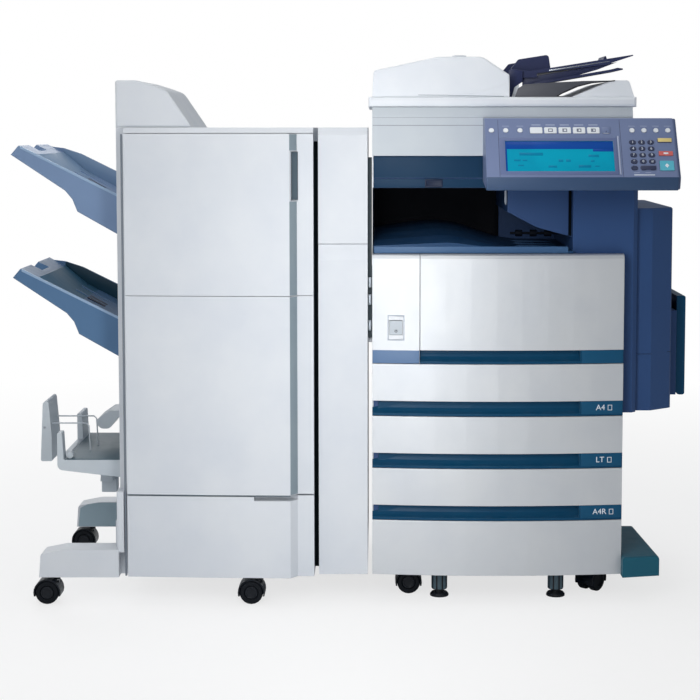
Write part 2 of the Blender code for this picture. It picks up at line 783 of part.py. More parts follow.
def make_drawer(number):
    """Paper cassette with its blue grip, and the white front fixed to it."""
    low = drawer_bottom(number)
    high = low + DRAWER_PITCH - SEAM
    split = low + GRIP_HEIGHT
    span = (0, FRONT_WIDTH)
    pivot = (FRONT_WIDTH / 2, 0, low)
    strip = cut(bowed(grip_profile(low, split), span), scoop((-CUT, GRIP_LENGTH), low, split))
    x = (CASSETTE_SIDE, FRONT_WIDTH - CASSETTE_SIDE)
    y = (FRAME_FRONT, FRAME_FRONT + CASSETTE_DEPTH)
    z = (low + SHELF + SEAT, low + DRAWER_PITCH - CASSETTE_TOP)
    tray = cut(box(x, y, z), box((x[0] + WALL, x[1] - WALL), (y[0] + WALL, y[1] - CASSETTE_BACK),
                                 (z[0] + CASSETTE_FLOOR, z[1] + CUT)))
    back_cut = box((x[0] + WALL, x[1] - WALL), (y[1] - CASSETTE_BACK + WALL, y[1] - WALL),
                   (z[0] + CASSETTE_FLOOR, z[1] + CUT))
    bridge = box(x, (PANEL_DEPTH - WALL, FRAME_FRONT + WALL / 2), (z[0], split - WALL))
    piece(f"drawer_{number}_cassette", fuse(cut(tray, back_cut), bridge, strip), TEAL, pivot)
    face = bowed(panel_profile(split + SEAT, high, SEAM), span)
    piece(f"drawer_{number}_front", face, WHITE, pivot)


def make_exit_tray():
    """Rest for printed sheets in the exit cavity: a hump that falls to the right and the front."""
    left = COVER_WALL + SEAT
    right = COLUMN_LEFT - SEAT
    bottom = COVER_TOP + SEAT
    front = FRAME_FRONT + SEAM
    back = FRAME_FRONT + CAVITY_DEPTH - SEAT
    width = right - left

    def section(depth, rise):
        top = EXIT_LOW + (EXIT_HIGH - EXIT_LOW) * rise
        corners = [(left, bottom, 0), (right, bottom, 0), (right, bottom + EXIT_LOW, 0),
                   (right - width * 0.28, bottom + EXIT_LOW, EXIT_ROUND),
                   (left + width * 0.38, bottom + top, EXIT_ROUND),
                   (left, bottom + EXIT_LOW + (top - EXIT_LOW) * 0.6, 0)]
        return [lift(point, "Y", depth) for point in outline(corners, 5)]
    run = back - front
    steps = [(0.0, 0.35), (0.15, 0.62), (0.35, 0.85), (0.6, 1.0), (1.0, 1.0)]
    piece("exit_tray", loft([section(front + run * part, rise) for part, rise in steps]), STEEL_BLUE)


# Engine pieces

def make_engine_pieces():
    """Toner bottle and photo drum, which turn in their bores about front-to-back axes."""
    front = FRAME_FRONT + ENGINE_RECESS
    toner = (TONER_X, front, COVER_TOP - TONER_DROP)
    neck = TONER_RADIUS * 0.55
    cap = ENGINE_RECESS * 0.45
    profile = [(neck * 0.6, -cap), (neck, -cap), (neck, 0), (TONER_RADIUS * 0.93, 0), (TONER_RADIUS, 0.004),
               (TONER_RADIUS, TONER_LENGTH * 0.9), (neck, TONER_LENGTH), (neck * 0.5, TONER_LENGTH)]
    bottle = turned(profile, "Y", toner, 28)
    handle = box((TONER_X - neck * 0.2, TONER_X + neck * 0.2), (front - cap * 1.6, front - cap * 0.5),
                 (toner[2] - neck * 0.8, toner[2] + neck * 0.8))
    piece("toner_bottle", fuse(bottle, handle), BLACK, toner)
    drum = (DRUM_X, front, COVER_TOP - DRUM_DROP)
    profile = [(SHAFT_RADIUS, -SHAFT_LENGTH), (SHAFT_RADIUS, 0), (DRUM_RADIUS, 0), (DRUM_RADIUS, DRUM_LENGTH)]
    piece("photo_drum", turned(profile, "Y", drum), STEEL_BLUE, drum, 0.25, 0.6)


# Scanner

def make_scanner():
    """Scanner housing with its well, the platen glass on a ledge and the lamp carriage on rails."""
    low = NECK_TOP
    profile = [(SCANNER_FRONT, low), (SCANNER_FRONT, SCANNER_TOP - SCANNER_BEVEL),
               (SCANNER_FRONT + SCANNER_BEVEL * 0.3, SCANNER_TOP), (BODY_DEPTH, SCANNER_TOP),
               (BODY_DEPTH, low)]
    housing = solid(prism(profile, "X", 0, SCANNER_RIGHT))
    x = (GLASS_LEFT, GLASS_LEFT + GLASS_WIDTH)
    y = (GLASS_FRONT, GLASS_FRONT + GLASS_DEPTH)
    seat = SCANNER_TOP - GLASS_THICK
    rebate = box((x[0] - SEAT, x[1] + SEAT), (y[0] - SEAT, y[1] + SEAT), (seat - SEAT, SCANNER_TOP + CUT))
    inner_x = (x[0] + GLASS_LEDGE, x[1] - GLASS_LEDGE)
    inner_y = (y[0] + GLASS_LEDGE, y[1] - GLASS_LEDGE)
    floor = SCANNER_TOP - WELL_DEPTH
    well = box(inner_x, inner_y, (floor, SCANNER_TOP + CUT))
    rails = [box((inner_x[0] - WALL, inner_x[1] + WALL), (edge - RAIL_WIDTH / 2, edge + RAIL_WIDTH / 2),
                 (floor - WALL, floor + RAIL_HEIGHT)) for edge in rail_places()]
    cheeks, bores = lid_cradles()
    piece("scanner_housing", cut(fuse(cut(housing, rebate, well), *rails, *cheeks), *bores), WHITE)
    piece("platen_glass", box(x, y, (seat, SCANNER_TOP)), STEEL_BLUE, roughness=0.05)
    start = inner_x[0] + RUN
    deck = floor + RAIL_HEIGHT + SEAT
    body = box((start, start + CARRIAGE_WIDTH), (inner_y[0] + RUN, inner_y[1] - RUN),
               (deck, deck + CARRIAGE_HEIGHT))
    trough = box((start + CARRIAGE_WIDTH * 0.3, start + CARRIAGE_WIDTH * 0.7),
                 (inner_y[0] + 4 * WALL, inner_y[1] - 4 * WALL), (deck + CARRIAGE_HEIGHT * 0.5, deck + CUT))
    piece("scan_carriage", cut(body, trough), BLACK, (start, inner_y[0], deck))


def rail_places():
    """Depths of the two carriage rails."""
    span = GLASS_DEPTH - 2 * GLASS_LEDGE
    front = GLASS_FRONT + GLASS_LEDGE
    return front + span * 0.25, front + span * 0.75


# Document feeder

def lid_hinge():
    """Point on the axis of the platen lid, along its lower back edge."""
    return SCANNER_RIGHT / 2, BODY_DEPTH, LID_BOTTOM


def cheek_spans():
    """Widths of the four cheeks that carry the lid's pins, two at each hinge."""
    inner = LID_KNUCKLE_WIDTH / 2 + RUN
    outer = inner + LID_CHEEK
    return [span for place in LID_HINGES
            for span in ((place - outer, place - inner), (place + inner, place + outer))]


def lid_knuckles():
    """Knuckle of the lid at each hinge, with a pin that reaches into both cheeks."""
    knuckles = []
    for place in LID_HINGES:
        reach = LID_KNUCKLE_WIDTH / 2
        pin = reach + LID_CHEEK * 0.8
        knuckles.append(prism(circle(BODY_DEPTH, LID_BOTTOM, LID_KNUCKLE, 12), "X", place - reach,
                              place + reach))
        knuckles.append(prism(circle(BODY_DEPTH, LID_BOTTOM, LID_PIN, 8), "X", place - pin, place + pin))
    return knuckles


def lid_cradles():
    """Cheeks on the scanner's back edge, and the tools that bore them and clear the knuckles."""
    back = BODY_DEPTH + LID_KNUCKLE
    cheeks = [box(span, (BODY_DEPTH - WALL, back), (LID_BOTTOM - LID_CHEEK_DROP, LID_BOTTOM + LID_KNUCKLE))
              for span in cheek_spans()]
    bores = []
    for place in LID_HINGES:
        reach = LID_KNUCKLE_WIDTH / 2 + RUN
        pin = reach + LID_CHEEK * 0.9
        bores.append(prism(circle(BODY_DEPTH, LID_BOTTOM, LID_KNUCKLE + RUN, 12), "X", place - reach,
                           place + reach))
        bores.append(prism(circle(BODY_DEPTH, LID_BOTTOM, LID_PIN + RUN, 8), "X", place - pin, place + pin))
    return cheeks, bores


def make_lid():
    """Platen lid with the output rest and its raised end."""
    x = (-LID_OVERHANG, SCANNER_RIGHT + LID_OVERHANG)
    slab = box(x, (SCANNER_FRONT, BODY_DEPTH), (LID_BOTTOM, LID_TOP))
    slab = soften(slab, LID_BEVEL, 2, edges_at("Y", SCANNER_FRONT))
    end = x[1] - LID_OVERHANG / 2
    start = end - LID_HILL_WIDTH
    top = LID_TOP + LID_HILL_HEIGHT
    hill = outline([(start, LID_BOTTOM + LID_BEVEL, 0), (end, LID_BOTTOM + LID_BEVEL, 0), (end, LID_TOP, 0),
                    (end - LID_HILL_SHOULDER, top, LID_HILL_SHOULDER * 0.65),
                    (end - LID_HILL_CREST, top, LID_HILL_CREST * 0.45), (start, LID_TOP, 0)], 3)
    rest = prism(hill, "Y", FEEDER_FRONT, FEEDER_FRONT + FEEDER_DEPTH)
    hollow = box((FEEDER_WIDTH + 4 * WALL, x[1] + CUT),
                 (FEEDER_FRONT + 8 * WALL, FEEDER_FRONT + FEEDER_DEPTH - 8 * WALL),
                 (LID_TOP - WALL, LID_TOP + CUT))
    notches = [box(grown(span, RUN), (BODY_DEPTH - 2 * LID_KNUCKLE, BODY_DEPTH + CUT),
                   (LID_BOTTOM - CUT, LID_TOP + CUT))
               for span in cheek_spans()]
    lid = fuse(cut(slab, hollow, *notches), rest, *lid_knuckles(), *tray_ears())
    piece("adf_base", lid, WHITE, lid_hinge())


def tray_ears():
    """Two ears on the lid, each with a pin for the document tray."""
    x, front, z = input_hinge()
    ears = []
    for face, side in ((front - RUN, -1), (front + INPUT_TRAY_DEPTH + RUN, 1)):
        corners = [(x - TRAY_EAR, LID_TOP - WALL, 0), (x + 2 * TRAY_EAR, LID_TOP - WALL, 0),
                   (x + TRAY_EAR, z + TRAY_EAR, TRAY_EAR / 2), (x - TRAY_EAR, z + TRAY_EAR, TRAY_EAR / 2)]
        span = sorted((face, face + side * TRAY_EAR_THICK))
        reach = sorted((face + side * WALL, face - side * (TRAY_EAR_THICK - RUN)))
        ears.append(fuse(prism(outline(corners, 3), "Y", *span),
                         prism(circle(x, z, TRAY_PIN, 12), "Y", *reach)))
    return ears


def feeder_hinge():
    """Point on the axis of the feeder cover, along its lower left edge."""
    return 0.0, FEEDER_FRONT + FEEDER_DEPTH / 2, LID_TOP + SEAT


def make_feeder():
    """Domed feeder cover with a sloping right end."""
    low = LID_TOP + SEAT
    side = low + FEEDER_SIDE_HEIGHT
    top = low + FEEDER_RISE
    corners = [(0, low, 0), (FEEDER_WIDTH, low, 0), (FEEDER_WIDTH, low + FEEDER_SLOPE_END_HEIGHT, 0.004),
               (FEEDER_SLOPE_START, top, 0.030), (FEEDER_SLOPE_START * 0.6, top, 0.10), (0.003, side, 0.008)]
    cover = prism(outline(corners, 4), "Y", FEEDER_FRONT, FEEDER_FRONT + FEEDER_DEPTH)
    rim = low + FEEDER_EDGE

    def upper(edge):
        faces = (FEEDER_FRONT, FEEDER_FRONT + FEEDER_DEPTH)
        on_face = any(all(abs(vert.co.y - face) < 1e-6 for vert in edge.verts) for face in faces)
        return on_face and min(vert.co.z for vert in edge.verts) > rim
    cover = soften(cover, FEEDER_EDGE * 0.5, 2, upper)
    mouth = prism(outline([(FEEDER_WIDTH - 0.035, low - CUT, 0), (FEEDER_WIDTH + CUT, low - CUT, 0),
                           (FEEDER_WIDTH + CUT, low + FEEDER_SLOPE_END_HEIGHT * 0.55, 0),
                           (FEEDER_WIDTH - 0.035, low + FEEDER_SLOPE_END_HEIGHT * 0.45, 0)]),
                  "Y", INPUT_TRAY_FRONT, INPUT_TRAY_FRONT + INPUT_TRAY_DEPTH)
    piece("adf_feed_cover", cut(cover, mouth), WHITE, feeder_hinge())


def input_hinge():
    """Point on the axis of the document tray, at its lower end beside the feeder cover."""
    return FEEDER_WIDTH + INPUT_TRAY_START, INPUT_TRAY_FRONT, LID_TOP + INPUT_TRAY_LIFT


def make_input_tray():
    """Tilted document tray with two guides that slide together across it."""
    hinge = input_hinge()
    carrier = frame("input_tray_frame", hinge, (0, -INPUT_TRAY_TILT, 0), ROOT)
    thick = INPUT_TRAY_THICK
    length = INPUT_TRAY_LENGTH
    corners = [(0, -thick / 2, 0), (length * 0.78, -thick, 0), (length, -thick * 0.2, 0), (length, 0, 0),
               (0, 0, 0)]
    plate = solid(prism(outline(corners), "Y", 0, INPUT_TRAY_DEPTH))
    track = box((GUIDE_LENGTH * 0.3, GUIDE_LENGTH * 0.5),
                (GUIDE_INSET / 2, INPUT_TRAY_DEPTH - GUIDE_INSET / 2), (-GUIDE_TRACK, CUT))
    stop = prism([(length * 0.80, -thick / 3), (length * 0.85, -thick / 3),
                  (length * 0.84, INPUT_TRAY_STOP), (length * 0.83, INPUT_TRAY_STOP)],
                 "Y", INPUT_TRAY_DEPTH * 0.35, INPUT_TRAY_DEPTH * 0.65)
    legs = []
    for edge in (0, INPUT_TRAY_DEPTH - TRAY_EAR_THICK):
        cheek = outline([(-TRAY_EAR, TRAY_EAR * 0.9, TRAY_EAR / 2), (-TRAY_EAR, -TRAY_EAR, TRAY_EAR / 2),
                         (GUIDE_LENGTH * 0.6, -thick * 1.4, 0), (GUIDE_LENGTH * 0.6, -thick * 0.3, 0),
                         (TRAY_EAR * 1.6, TRAY_EAR * 0.9, 0)], 3)
        legs.append(prism(cheek, "Y", edge, edge + TRAY_EAR_THICK))
    tray = fuse(cut(plate, track), stop, *legs)
    bores = prism(circle(0, 0, TRAY_PIN + RUN, 12), "Y", -CUT, INPUT_TRAY_DEPTH + CUT)
    piece("adf_input_tray", cut(tray, bores), NAVY, parent=carrier)
    for name, edge in (("document_guide_front", GUIDE_INSET),
                       ("document_guide_rear", INPUT_TRAY_DEPTH - GUIDE_INSET)):
        make_guide(name, edge, carrier)


def make_guide(name, edge, carrier):
    """Document guide with a foot that runs in the tray's track."""
    low, high = edge - GUIDE_THICK / 2, edge + GUIDE_THICK / 2
    corners = [(0, SEAT, 0), (GUIDE_LENGTH, SEAT, 0), (GUIDE_LENGTH, GUIDE_HEIGHT, GUIDE_THICK * 0.4),
               (GUIDE_LENGTH * 0.22, GUIDE_HEIGHT, GUIDE_THICK * 0.25), (0, GUIDE_HEIGHT * 0.45, 0)]
    block = prism(outline(corners, 3), "Y", low, high)
    foot = box((GUIDE_LENGTH * 0.3 + RUN, GUIDE_LENGTH * 0.5 - RUN), (low, high),
               (-GUIDE_TRACK + SEAT, 2 * WALL))
    piece(name, fuse(block, foot), NAVY, parent=carrier)


# Control panel

def face_frame():
    """Empty at the lower left corner of the panel's face: X along it, Y up it, Z out of it."""
    place = (PANEL_LEFT, PANEL_FRONT, PANEL_BOTTOM_Z)
    return frame("panel_face", place, (math.pi / 2 - PANEL_TILT, 0, 0), ROOT)


def key_cap(u, v, size_u, size_v, corner):
    """Outline of one key on the face."""
    return rectangle((u - size_u / 2, u + size_u / 2), (v - size_v / 2, v + size_v / 2), corner, 1)


def keypad_caps():
    """Outlines of the number keys and of the clear key beside them, for a growth in size."""
    def caps(more):
        keys = [key_cap(KEYPAD_U + column * KEY_PITCH_U, KEYPAD_V + row * KEY_PITCH_V, KEY_SIZE_U + more,
                        KEY_SIZE_V + more,
                        KEY_SIZE_V * 0.3) for row in range(KEY_ROWS) for column in range(KEY_COLUMNS)]
        clear = key_cap(START_U + START_SIZE_U / 2, CLEAR_V + CLEAR_SIZE_V / 2, START_SIZE_U + more,
                        CLEAR_SIZE_V + more, CLEAR_SIZE_V * 0.2)
        return [*keys, clear]
    return caps


def function_caps():
    """Outlines of the keys along the top of the face: flat ones in the middle, round ones beside them."""
    def caps(more):
        flat = [key_cap(FUNCTION_U + number * FUNCTION_PITCH, FUNCTION_V, FUNCTION_SIZE_U + more,
                        FUNCTION_SIZE_V + more, FUNCTION_SIZE_V * 0.1) for number in range(FUNCTION_KEYS)]
        last = FUNCTION_U + (FUNCTION_KEYS - 1) * FUNCTION_PITCH
        square = key_cap(last + SQUARE_KEY_GAP, FUNCTION_V, SQUARE_KEY + more, SQUARE_KEY + more,
                         SQUARE_KEY * 0.1)
        places = [ROUND_KEYS_LEFT + number * ROUND_PITCH_LEFT for number in range(ROUND_COUNT_LEFT)]
        places += [ROUND_KEYS_RIGHT + number * ROUND_PITCH_RIGHT for number in range(ROUND_COUNT_RIGHT)]
        rounds = [circle(place, FUNCTION_V, (ROUND_KEY + more) / 2, 10) for place in places]
        return [*flat, square, *rounds]
    return caps


def keypad_spans():
    """Spans of the number key mat: a field under the number keys and a tongue under the clear key."""
    field = (grown((KEYPAD_U, KEYPAD_U + (KEY_COLUMNS - 1) * KEY_PITCH_U), KEY_SIZE_U / 2 + MAT_MARGIN),
             grown((KEYPAD_V, KEYPAD_V + (KEY_ROWS - 1) * KEY_PITCH_V), KEY_SIZE_V / 2 + MAT_MARGIN))
    tongue = ((field[0][1] - MAT_MARGIN, START_U + START_SIZE_U + MAT_MARGIN),
              grown((CLEAR_V, CLEAR_V + CLEAR_SIZE_V), MAT_MARGIN))
    return field, tongue


def function_spans():
    """Span of the mat under the keys along the top."""
    last = ROUND_KEYS_RIGHT + (ROUND_COUNT_RIGHT - 1) * ROUND_PITCH_RIGHT
    return ((grown((ROUND_KEYS_LEFT, last), ROUND_KEY / 2 + MAT_MARGIN),
             grown((FUNCTION_V, FUNCTION_V), FUNCTION_SIZE_V / 2 + MAT_MARGIN)),)


def grown(span, gap):
    """Span widened by a gap at both ends."""
    return span[0] - gap, span[1] + gap


def key_mat(spans, caps):
    """Flexible mat below the panel's skin, with keys that stand up through it."""
    high = -PANEL_SKIN - SEAT
    low = high - MAT_THICK
    mats = [box(*span, (low, high)) for span in spans]
    keys = [prism(cap, "Z", low + MAT_THICK / 2, KEY_STAND) for cap in caps(0)]
    return fuse(*mats, *keys)


def mat_space(spans, caps):
    """Room in the panel for a mat and its travel, with a hole in the skin for each key."""
    low = -PANEL_SKIN - 2 * SEAT - MAT_THICK - KEY_TRAVEL
    rooms = [box(grown(across, RUN), grown(up, RUN), (low, -PANEL_SKIN)) for across, up in spans]
    holes = [prism(cap, "Z", -PANEL_SKIN - SEAT, CUT / 10) for cap in caps(2 * RUN)]
    return fuse(*rooms, *holes)


def single_key(span_u, span_v):
    """Free key in a pocket of its own."""
    low = -KEY_POCKET + KEY_TRAVEL + SEAT
    cap = prism(rectangle(span_u, span_v, WALL / 2, 2), "Z", low, KEY_STAND)
    return soften(cap, SEAT, 1, edges_at("Z", KEY_STAND))


def panel_shell():
    """Tilted panel body with a front lip."""
    back = SCANNER_FRONT - SEAT
    low = PANEL_BOTTOM_Z - PANEL_LIP
    corner = PANEL_CORNER / 2
    corners = [(back, low + PANEL_LIP * 0.6, 0), (back, PANEL_TOP_Z, 0),
               (-PANEL_TOP_FRONT, PANEL_TOP_Z, corner),
               (PANEL_FRONT, PANEL_BOTTOM_Z, corner), (PANEL_FRONT + PANEL_LIP * 0.3, low, corner)]
    right = PANEL_LEFT + PANEL_WIDTH
    shell = prism(outline(corners, 2), "X", PANEL_LEFT, right)
    return soften(shell, PANEL_CORNER / 2, 2, edges_at("X", right))


def make_control_panel():
    """Tilted control panel with its screen, key mats and free keys."""
    face = face_frame()
    bpy.context.view_layer.update()
    screen = ((SCREEN_U, SCREEN_U + SCREEN_WIDTH), (SCREEN_V, SCREEN_V + SCREEN_HEIGHT))
    start = ((START_U, START_U + START_SIZE_U), (START_V, START_V + START_SIZE_V))
    stop = ((START_U, START_U + START_SIZE_U), (STOP_V, STOP_V + STOP_SIZE_V))
    tools = [solid(box(grown(spans[0], gap), grown(spans[1], gap), (-depth, CUT / 10)))
             for spans, depth, gap in ((screen, SCREEN_DEPTH, SEAT), (start, KEY_POCKET, RUN),
                                       (stop, KEY_POCKET, RUN))]
    tools += [mat_space(keypad_spans(), keypad_caps()), mat_space(function_spans(), function_caps())]
    for tool in tools:
        tool.data.transform(ROOT.matrix_world.inverted() @ face.matrix_world)
    piece("control_panel", cut(panel_shell(), *tools), SLATE)
    glass = box(*screen, (-SCREEN_DEPTH + SEAT, -SCREEN_DEPTH + SEAT + SCREEN_THICK))
    piece("lcd_screen", glass, (0.0, 0.40, 0.50), roughness=0.15, parent=face)
    piece("keypad", key_mat(keypad_spans(), keypad_caps()), BLACK, parent=face)
    piece("function_keys", key_mat(function_spans(), function_caps()), WHITE, parent=face)
    piece("start_key", single_key(*start), (0.02, 0.45, 0.55), parent=face)
    piece("stop_key", single_key(*stop), (0.55, 0.08, 0.07), parent=face)


# Right side

def side_hinge():
    """Back left corner of the side cover."""
    return SIDE_LEFT, SIDE_FRONT + SIDE_DEPTH, SIDE_BOTTOM


def bypass_hinge():
    """Point on the axis of the bypass tray, along its lower outer edge."""
    return BYPASS_RIGHT - BYPASS_PIN, BYPASS_FRONT, BYPASS_BOTTOM + BYPASS_PIN


def make_side_cover():
    """Side cover with the bypass feeder, and the bypass tray folded up against it."""
    back = SIDE_FRONT + SIDE_DEPTH
    plan = outline([(SIDE_LEFT, SIDE_FRONT, 0), (SIDE_LEFT + SIDE_WIDTH * 0.4, SIDE_FRONT, 0),
                    (SIDE_RIGHT, SIDE_FRONT + SIDE_CHAMFER, SIDE_ROUND), (SIDE_RIGHT, back, SIDE_BACK_ROUND),
                    (SIDE_LEFT, back, 0)], 3)
    body = prism(plan, "Z", SIDE_BOTTOM, SIDE_BOTTOM + SIDE_HEIGHT)
    top = SIDE_BOTTOM + SIDE_HEIGHT
    body = soften(body, WALL, 1, edges_at("Z", top))
    bulge = box((SIDE_RIGHT - WALL, SIDE_RIGHT + SIDE_BULGE), (BYPASS_FRONT, BYPASS_FRONT + BYPASS_DEPTH),
                (BYPASS_BOTTOM, BYPASS_BOTTOM + BYPASS_HEIGHT * 0.85))
    line_z = SIDE_BOTTOM + SIDE_HEIGHT * SIDE_SPLIT
    line = cut(prism(plan, "Z", line_z, line_z + SEAM),
               box((SIDE_LEFT - CUT, SIDE_RIGHT - SIDE_BULGE / 2), (SIDE_FRONT + WALL, back + CUT), (0, 2)))
    piece("side_cover", fuse(cut(body, line), bulge), NAVY, side_hinge())
    x = (BYPASS_RIGHT - BYPASS_THICK, BYPASS_RIGHT)
    y = (BYPASS_FRONT, BYPASS_FRONT + BYPASS_DEPTH)
    slab = prism(outline([(x[0], BYPASS_BOTTOM, 1.6 * BYPASS_PIN), (x[1], BYPASS_BOTTOM, BYPASS_PIN),
                          (x[1], BYPASS_BOTTOM + BYPASS_HEIGHT, 0.004),
                          (x[0], BYPASS_BOTTOM + BYPASS_HEIGHT, 0)], 3),
                 "Y", *y)
    well = box((x[0] - CUT, x[1] - 2 * WALL), (y[0] + 3 * WALL, y[1] - 3 * WALL),
               (BYPASS_BOTTOM + BYPASS_THICK, BYPASS_BOTTOM + BYPASS_HEIGHT - 3 * WALL))
    piece("bypass_tray", cut(slab, well), TEAL, bypass_hinge())


def make_stabiliser():
    """Outrigger that stops the copier tipping to the right."""
    left = FRONT_WIDTH + SEAT
    right = left + STABILISER_LENGTH
    front, back = STABILISER_FRONT, STABILISER_FRONT + STABILISER_DEPTH
    low, high = STABILISER_BOTTOM, STABILISER_BOTTOM + STABILISER_HEIGHT
    plan = [(left, front), (right, front + STABILISER_SWEEP), (right - STABILISER_TAPER, back), (left, back)]
    body = prism(plan, "Z", low, high)
    body = soften(body, 2 * WALL, 2, edges_at("Z", high))
    piece("stabiliser", body, STEEL_BLUE)


# Feet and casters

def make_feet():
    """Two screw feet near the front of the copier."""
    for name, x in (("levelling_foot_left", FOOT_LEFT), ("levelling_foot_right", FOOT_LEFT + FOOT_SPACING)):
        top = BASE_BOTTOM + SEAM - SEAT
        waist = FOOT_STEM_RADIUS * 0.55
        profile = [(FOOT_RADIUS, 0), (FOOT_RADIUS, FOOT_HEIGHT * 0.5), (FOOT_RADIUS * 0.85, FOOT_HEIGHT),
                   (waist, FOOT_HEIGHT), (waist, FOOT_HEIGHT * 2), (FOOT_STEM_RADIUS, FOOT_HEIGHT * 2),
                   (FOOT_STEM_RADIUS, top)]
        piece(name, turned(profile, "Z", (x, FOOT_BACK, 0), 16), BLACK, (x, FOOT_BACK, 0))


def wheel_profile():
    """Half section of twin wheels on one axle."""
    inner = HOOD_WEB / 2 + RUN
    outer = inner + WHEEL_WIDTH
    edge = WHEEL_EDGE
    right = [(AXLE_RADIUS, inner), (WHEEL_RADIUS - edge, inner), (WHEEL_RADIUS, inner + edge),
             (WHEEL_RADIUS, outer - edge), (WHEEL_RADIUS - edge, outer), (WHEEL_RADIUS * 0.62, outer),
             (WHEEL_RADIUS * 0.56, outer - edge)]
    left = [(radius, -height) for radius, height in reversed(right)]
    return left + right


def make_wheels(name, stem, heading, lift_off=0.0):
    """Twin wheels behind a stem, trailing along a heading."""
    centre = wheel_centre(stem, heading, lift_off)
    wheels = turned(wheel_profile(), "Y", (0, 0, 0), 20)
    bmesh.ops.rotate(wheels, verts=wheels.verts, matrix=Matrix.Rotation(heading, 3, "Z"))
    bmesh.ops.translate(wheels, verts=wheels.verts, vec=centre)
    piece(name, wheels, BLACK, centre, 0.4)


def wheel_centre(stem, heading, lift_off=0.0):
    """Middle of the axle of a caster."""
    return Vector((stem[0] + CASTER_TRAIL * math.cos(heading), stem[1] + CASTER_TRAIL * math.sin(heading),
                   WHEEL_RADIUS + lift_off))


def make_hood(name, stem, heading, top, lift_off=0.0):
    """Hood of a swivel caster: arched mudguard, middle web and stem."""
    outer = WHEEL_RADIUS + HOOD_WALL + 2 * RUN
    half = HOOD_WEB / 2 + WHEEL_WIDTH + 2 * RUN
    disc = prism(circle(0, 0, outer, 24), "Y", -half, half)
    pockets = [prism(circle(0, 0, WHEEL_RADIUS + 2 * RUN, 24), "Y", side * HOOD_WEB / 2, side * (half + CUT))
               for side in (-1, 1)]
    below = box((-CUT, CUT), (-CUT, CUT), (-CUT, -HOOD_SKIRT))
    hole = prism(circle(0, 0, AXLE_RADIUS + RUN, 12), "Y", -half, half)
    hood = cut(disc, *pockets, below, hole)
    post = turned([(STEM_RADIUS, WHEEL_RADIUS), (STEM_RADIUS, top - WHEEL_RADIUS - lift_off - SEAT)], "Z",
                  (-CASTER_TRAIL, 0, 0), 12)
    neck = box((-CASTER_TRAIL - STEM_RADIUS * 0.7, -CASTER_TRAIL + STEM_RADIUS),
               (-HOOD_WEB / 2, HOOD_WEB / 2),
               (WHEEL_RADIUS * 0.3, WHEEL_RADIUS * 0.9))
    hood = fuse(hood, cut(neck, prism(circle(0, 0, WHEEL_RADIUS + 3 * RUN, 24), "Y", -CUT, CUT)), post)
    centre = wheel_centre(stem, heading, lift_off)
    hood.data.transform(Matrix.Translation(centre) @ Matrix.Rotation(heading, 4, "Z"))
    piece(name, hood, BLACK, (stem[0], stem[1], top), 0.4)


def finisher_caster_places():
    """Stems of the finisher's casters, as name, place, heading and height of the plate above."""
    left = FINISHER_LEFT - LEG_REACH + LEG_WIDTH * 0.6
    right = FINISHER_RIGHT - FINISHER_WIDTH * 0.28
    front = LEG_FRONT + LEG_WIDTH / 2
    back = front + LEG_SPACING
    return [("finisher_front_left", (left, front), math.pi), ("finisher_rear_left", (left, back), math.pi),
            ("finisher_front_right", (right, front), math.pi),
            ("finisher_rear_right", (right, back), math.pi)]


def copier_caster_places():
    """Stems of the copier's swivel casters."""
    return [("copier_front_left", (CASTER_LEFT - CASTER_TRAIL, CASTER_BACK), 0.0),
            ("copier_front_right", (FRONT_WIDTH - CASTER_RIGHT, CASTER_BACK), CASTER_TURN)]


def make_casters():
    """Swivel casters under the finisher and the front of the copier, fixed ones under its back."""
    for name, stem, heading in finisher_caster_places():
        make_hood(f"{name}_caster_hood", stem, heading, FINISHER_BOTTOM)
        make_wheels(f"{name}_caster_wheels", stem, heading)
    for name, stem, heading in copier_caster_places():
        make_hood(f"{name}_caster_hood", stem, heading, BASE_BOTTOM + SEAM, FIXED_LIFT)
        make_wheels(f"{name}_caster_wheels", stem, heading, FIXED_LIFT)
    for side, place in zip(("left", "right"), rear_caster_places()):
        make_wheels(f"copier_rear_{side}_caster_wheels", (place[0] - CASTER_TRAIL, place[1]), 0.0)


# Finisher

def door_plan(back):
    """Plan of the finisher's front: a swept face, a chamfer and a recessed strip at the right."""
    face_right = FINISHER_RIGHT - DOOR_STRIP - DOOR_CHAMFER
    middle = (DOOR_LEFT + face_right) / 2
    crown = FINISHER_SWEEP * 0.15
    return [(DOOR_LEFT, FINISHER_FRONT + FINISHER_SWEEP),
            (middle, FINISHER_FRONT + FINISHER_SWEEP / 2 - crown),
            (face_right, FINISHER_FRONT), (face_right + DOOR_CHAMFER, FINISHER_FRONT + DOOR_STEP),
            (FINISHER_RIGHT, FINISHER_FRONT + DOOR_STEP), (FINISHER_RIGHT, back), (DOOR_LEFT, back)]


def door_hinge(bottom):
    """Front left corner of a finisher door."""
    return DOOR_LEFT, FINISHER_FRONT + FINISHER_SWEEP, bottom


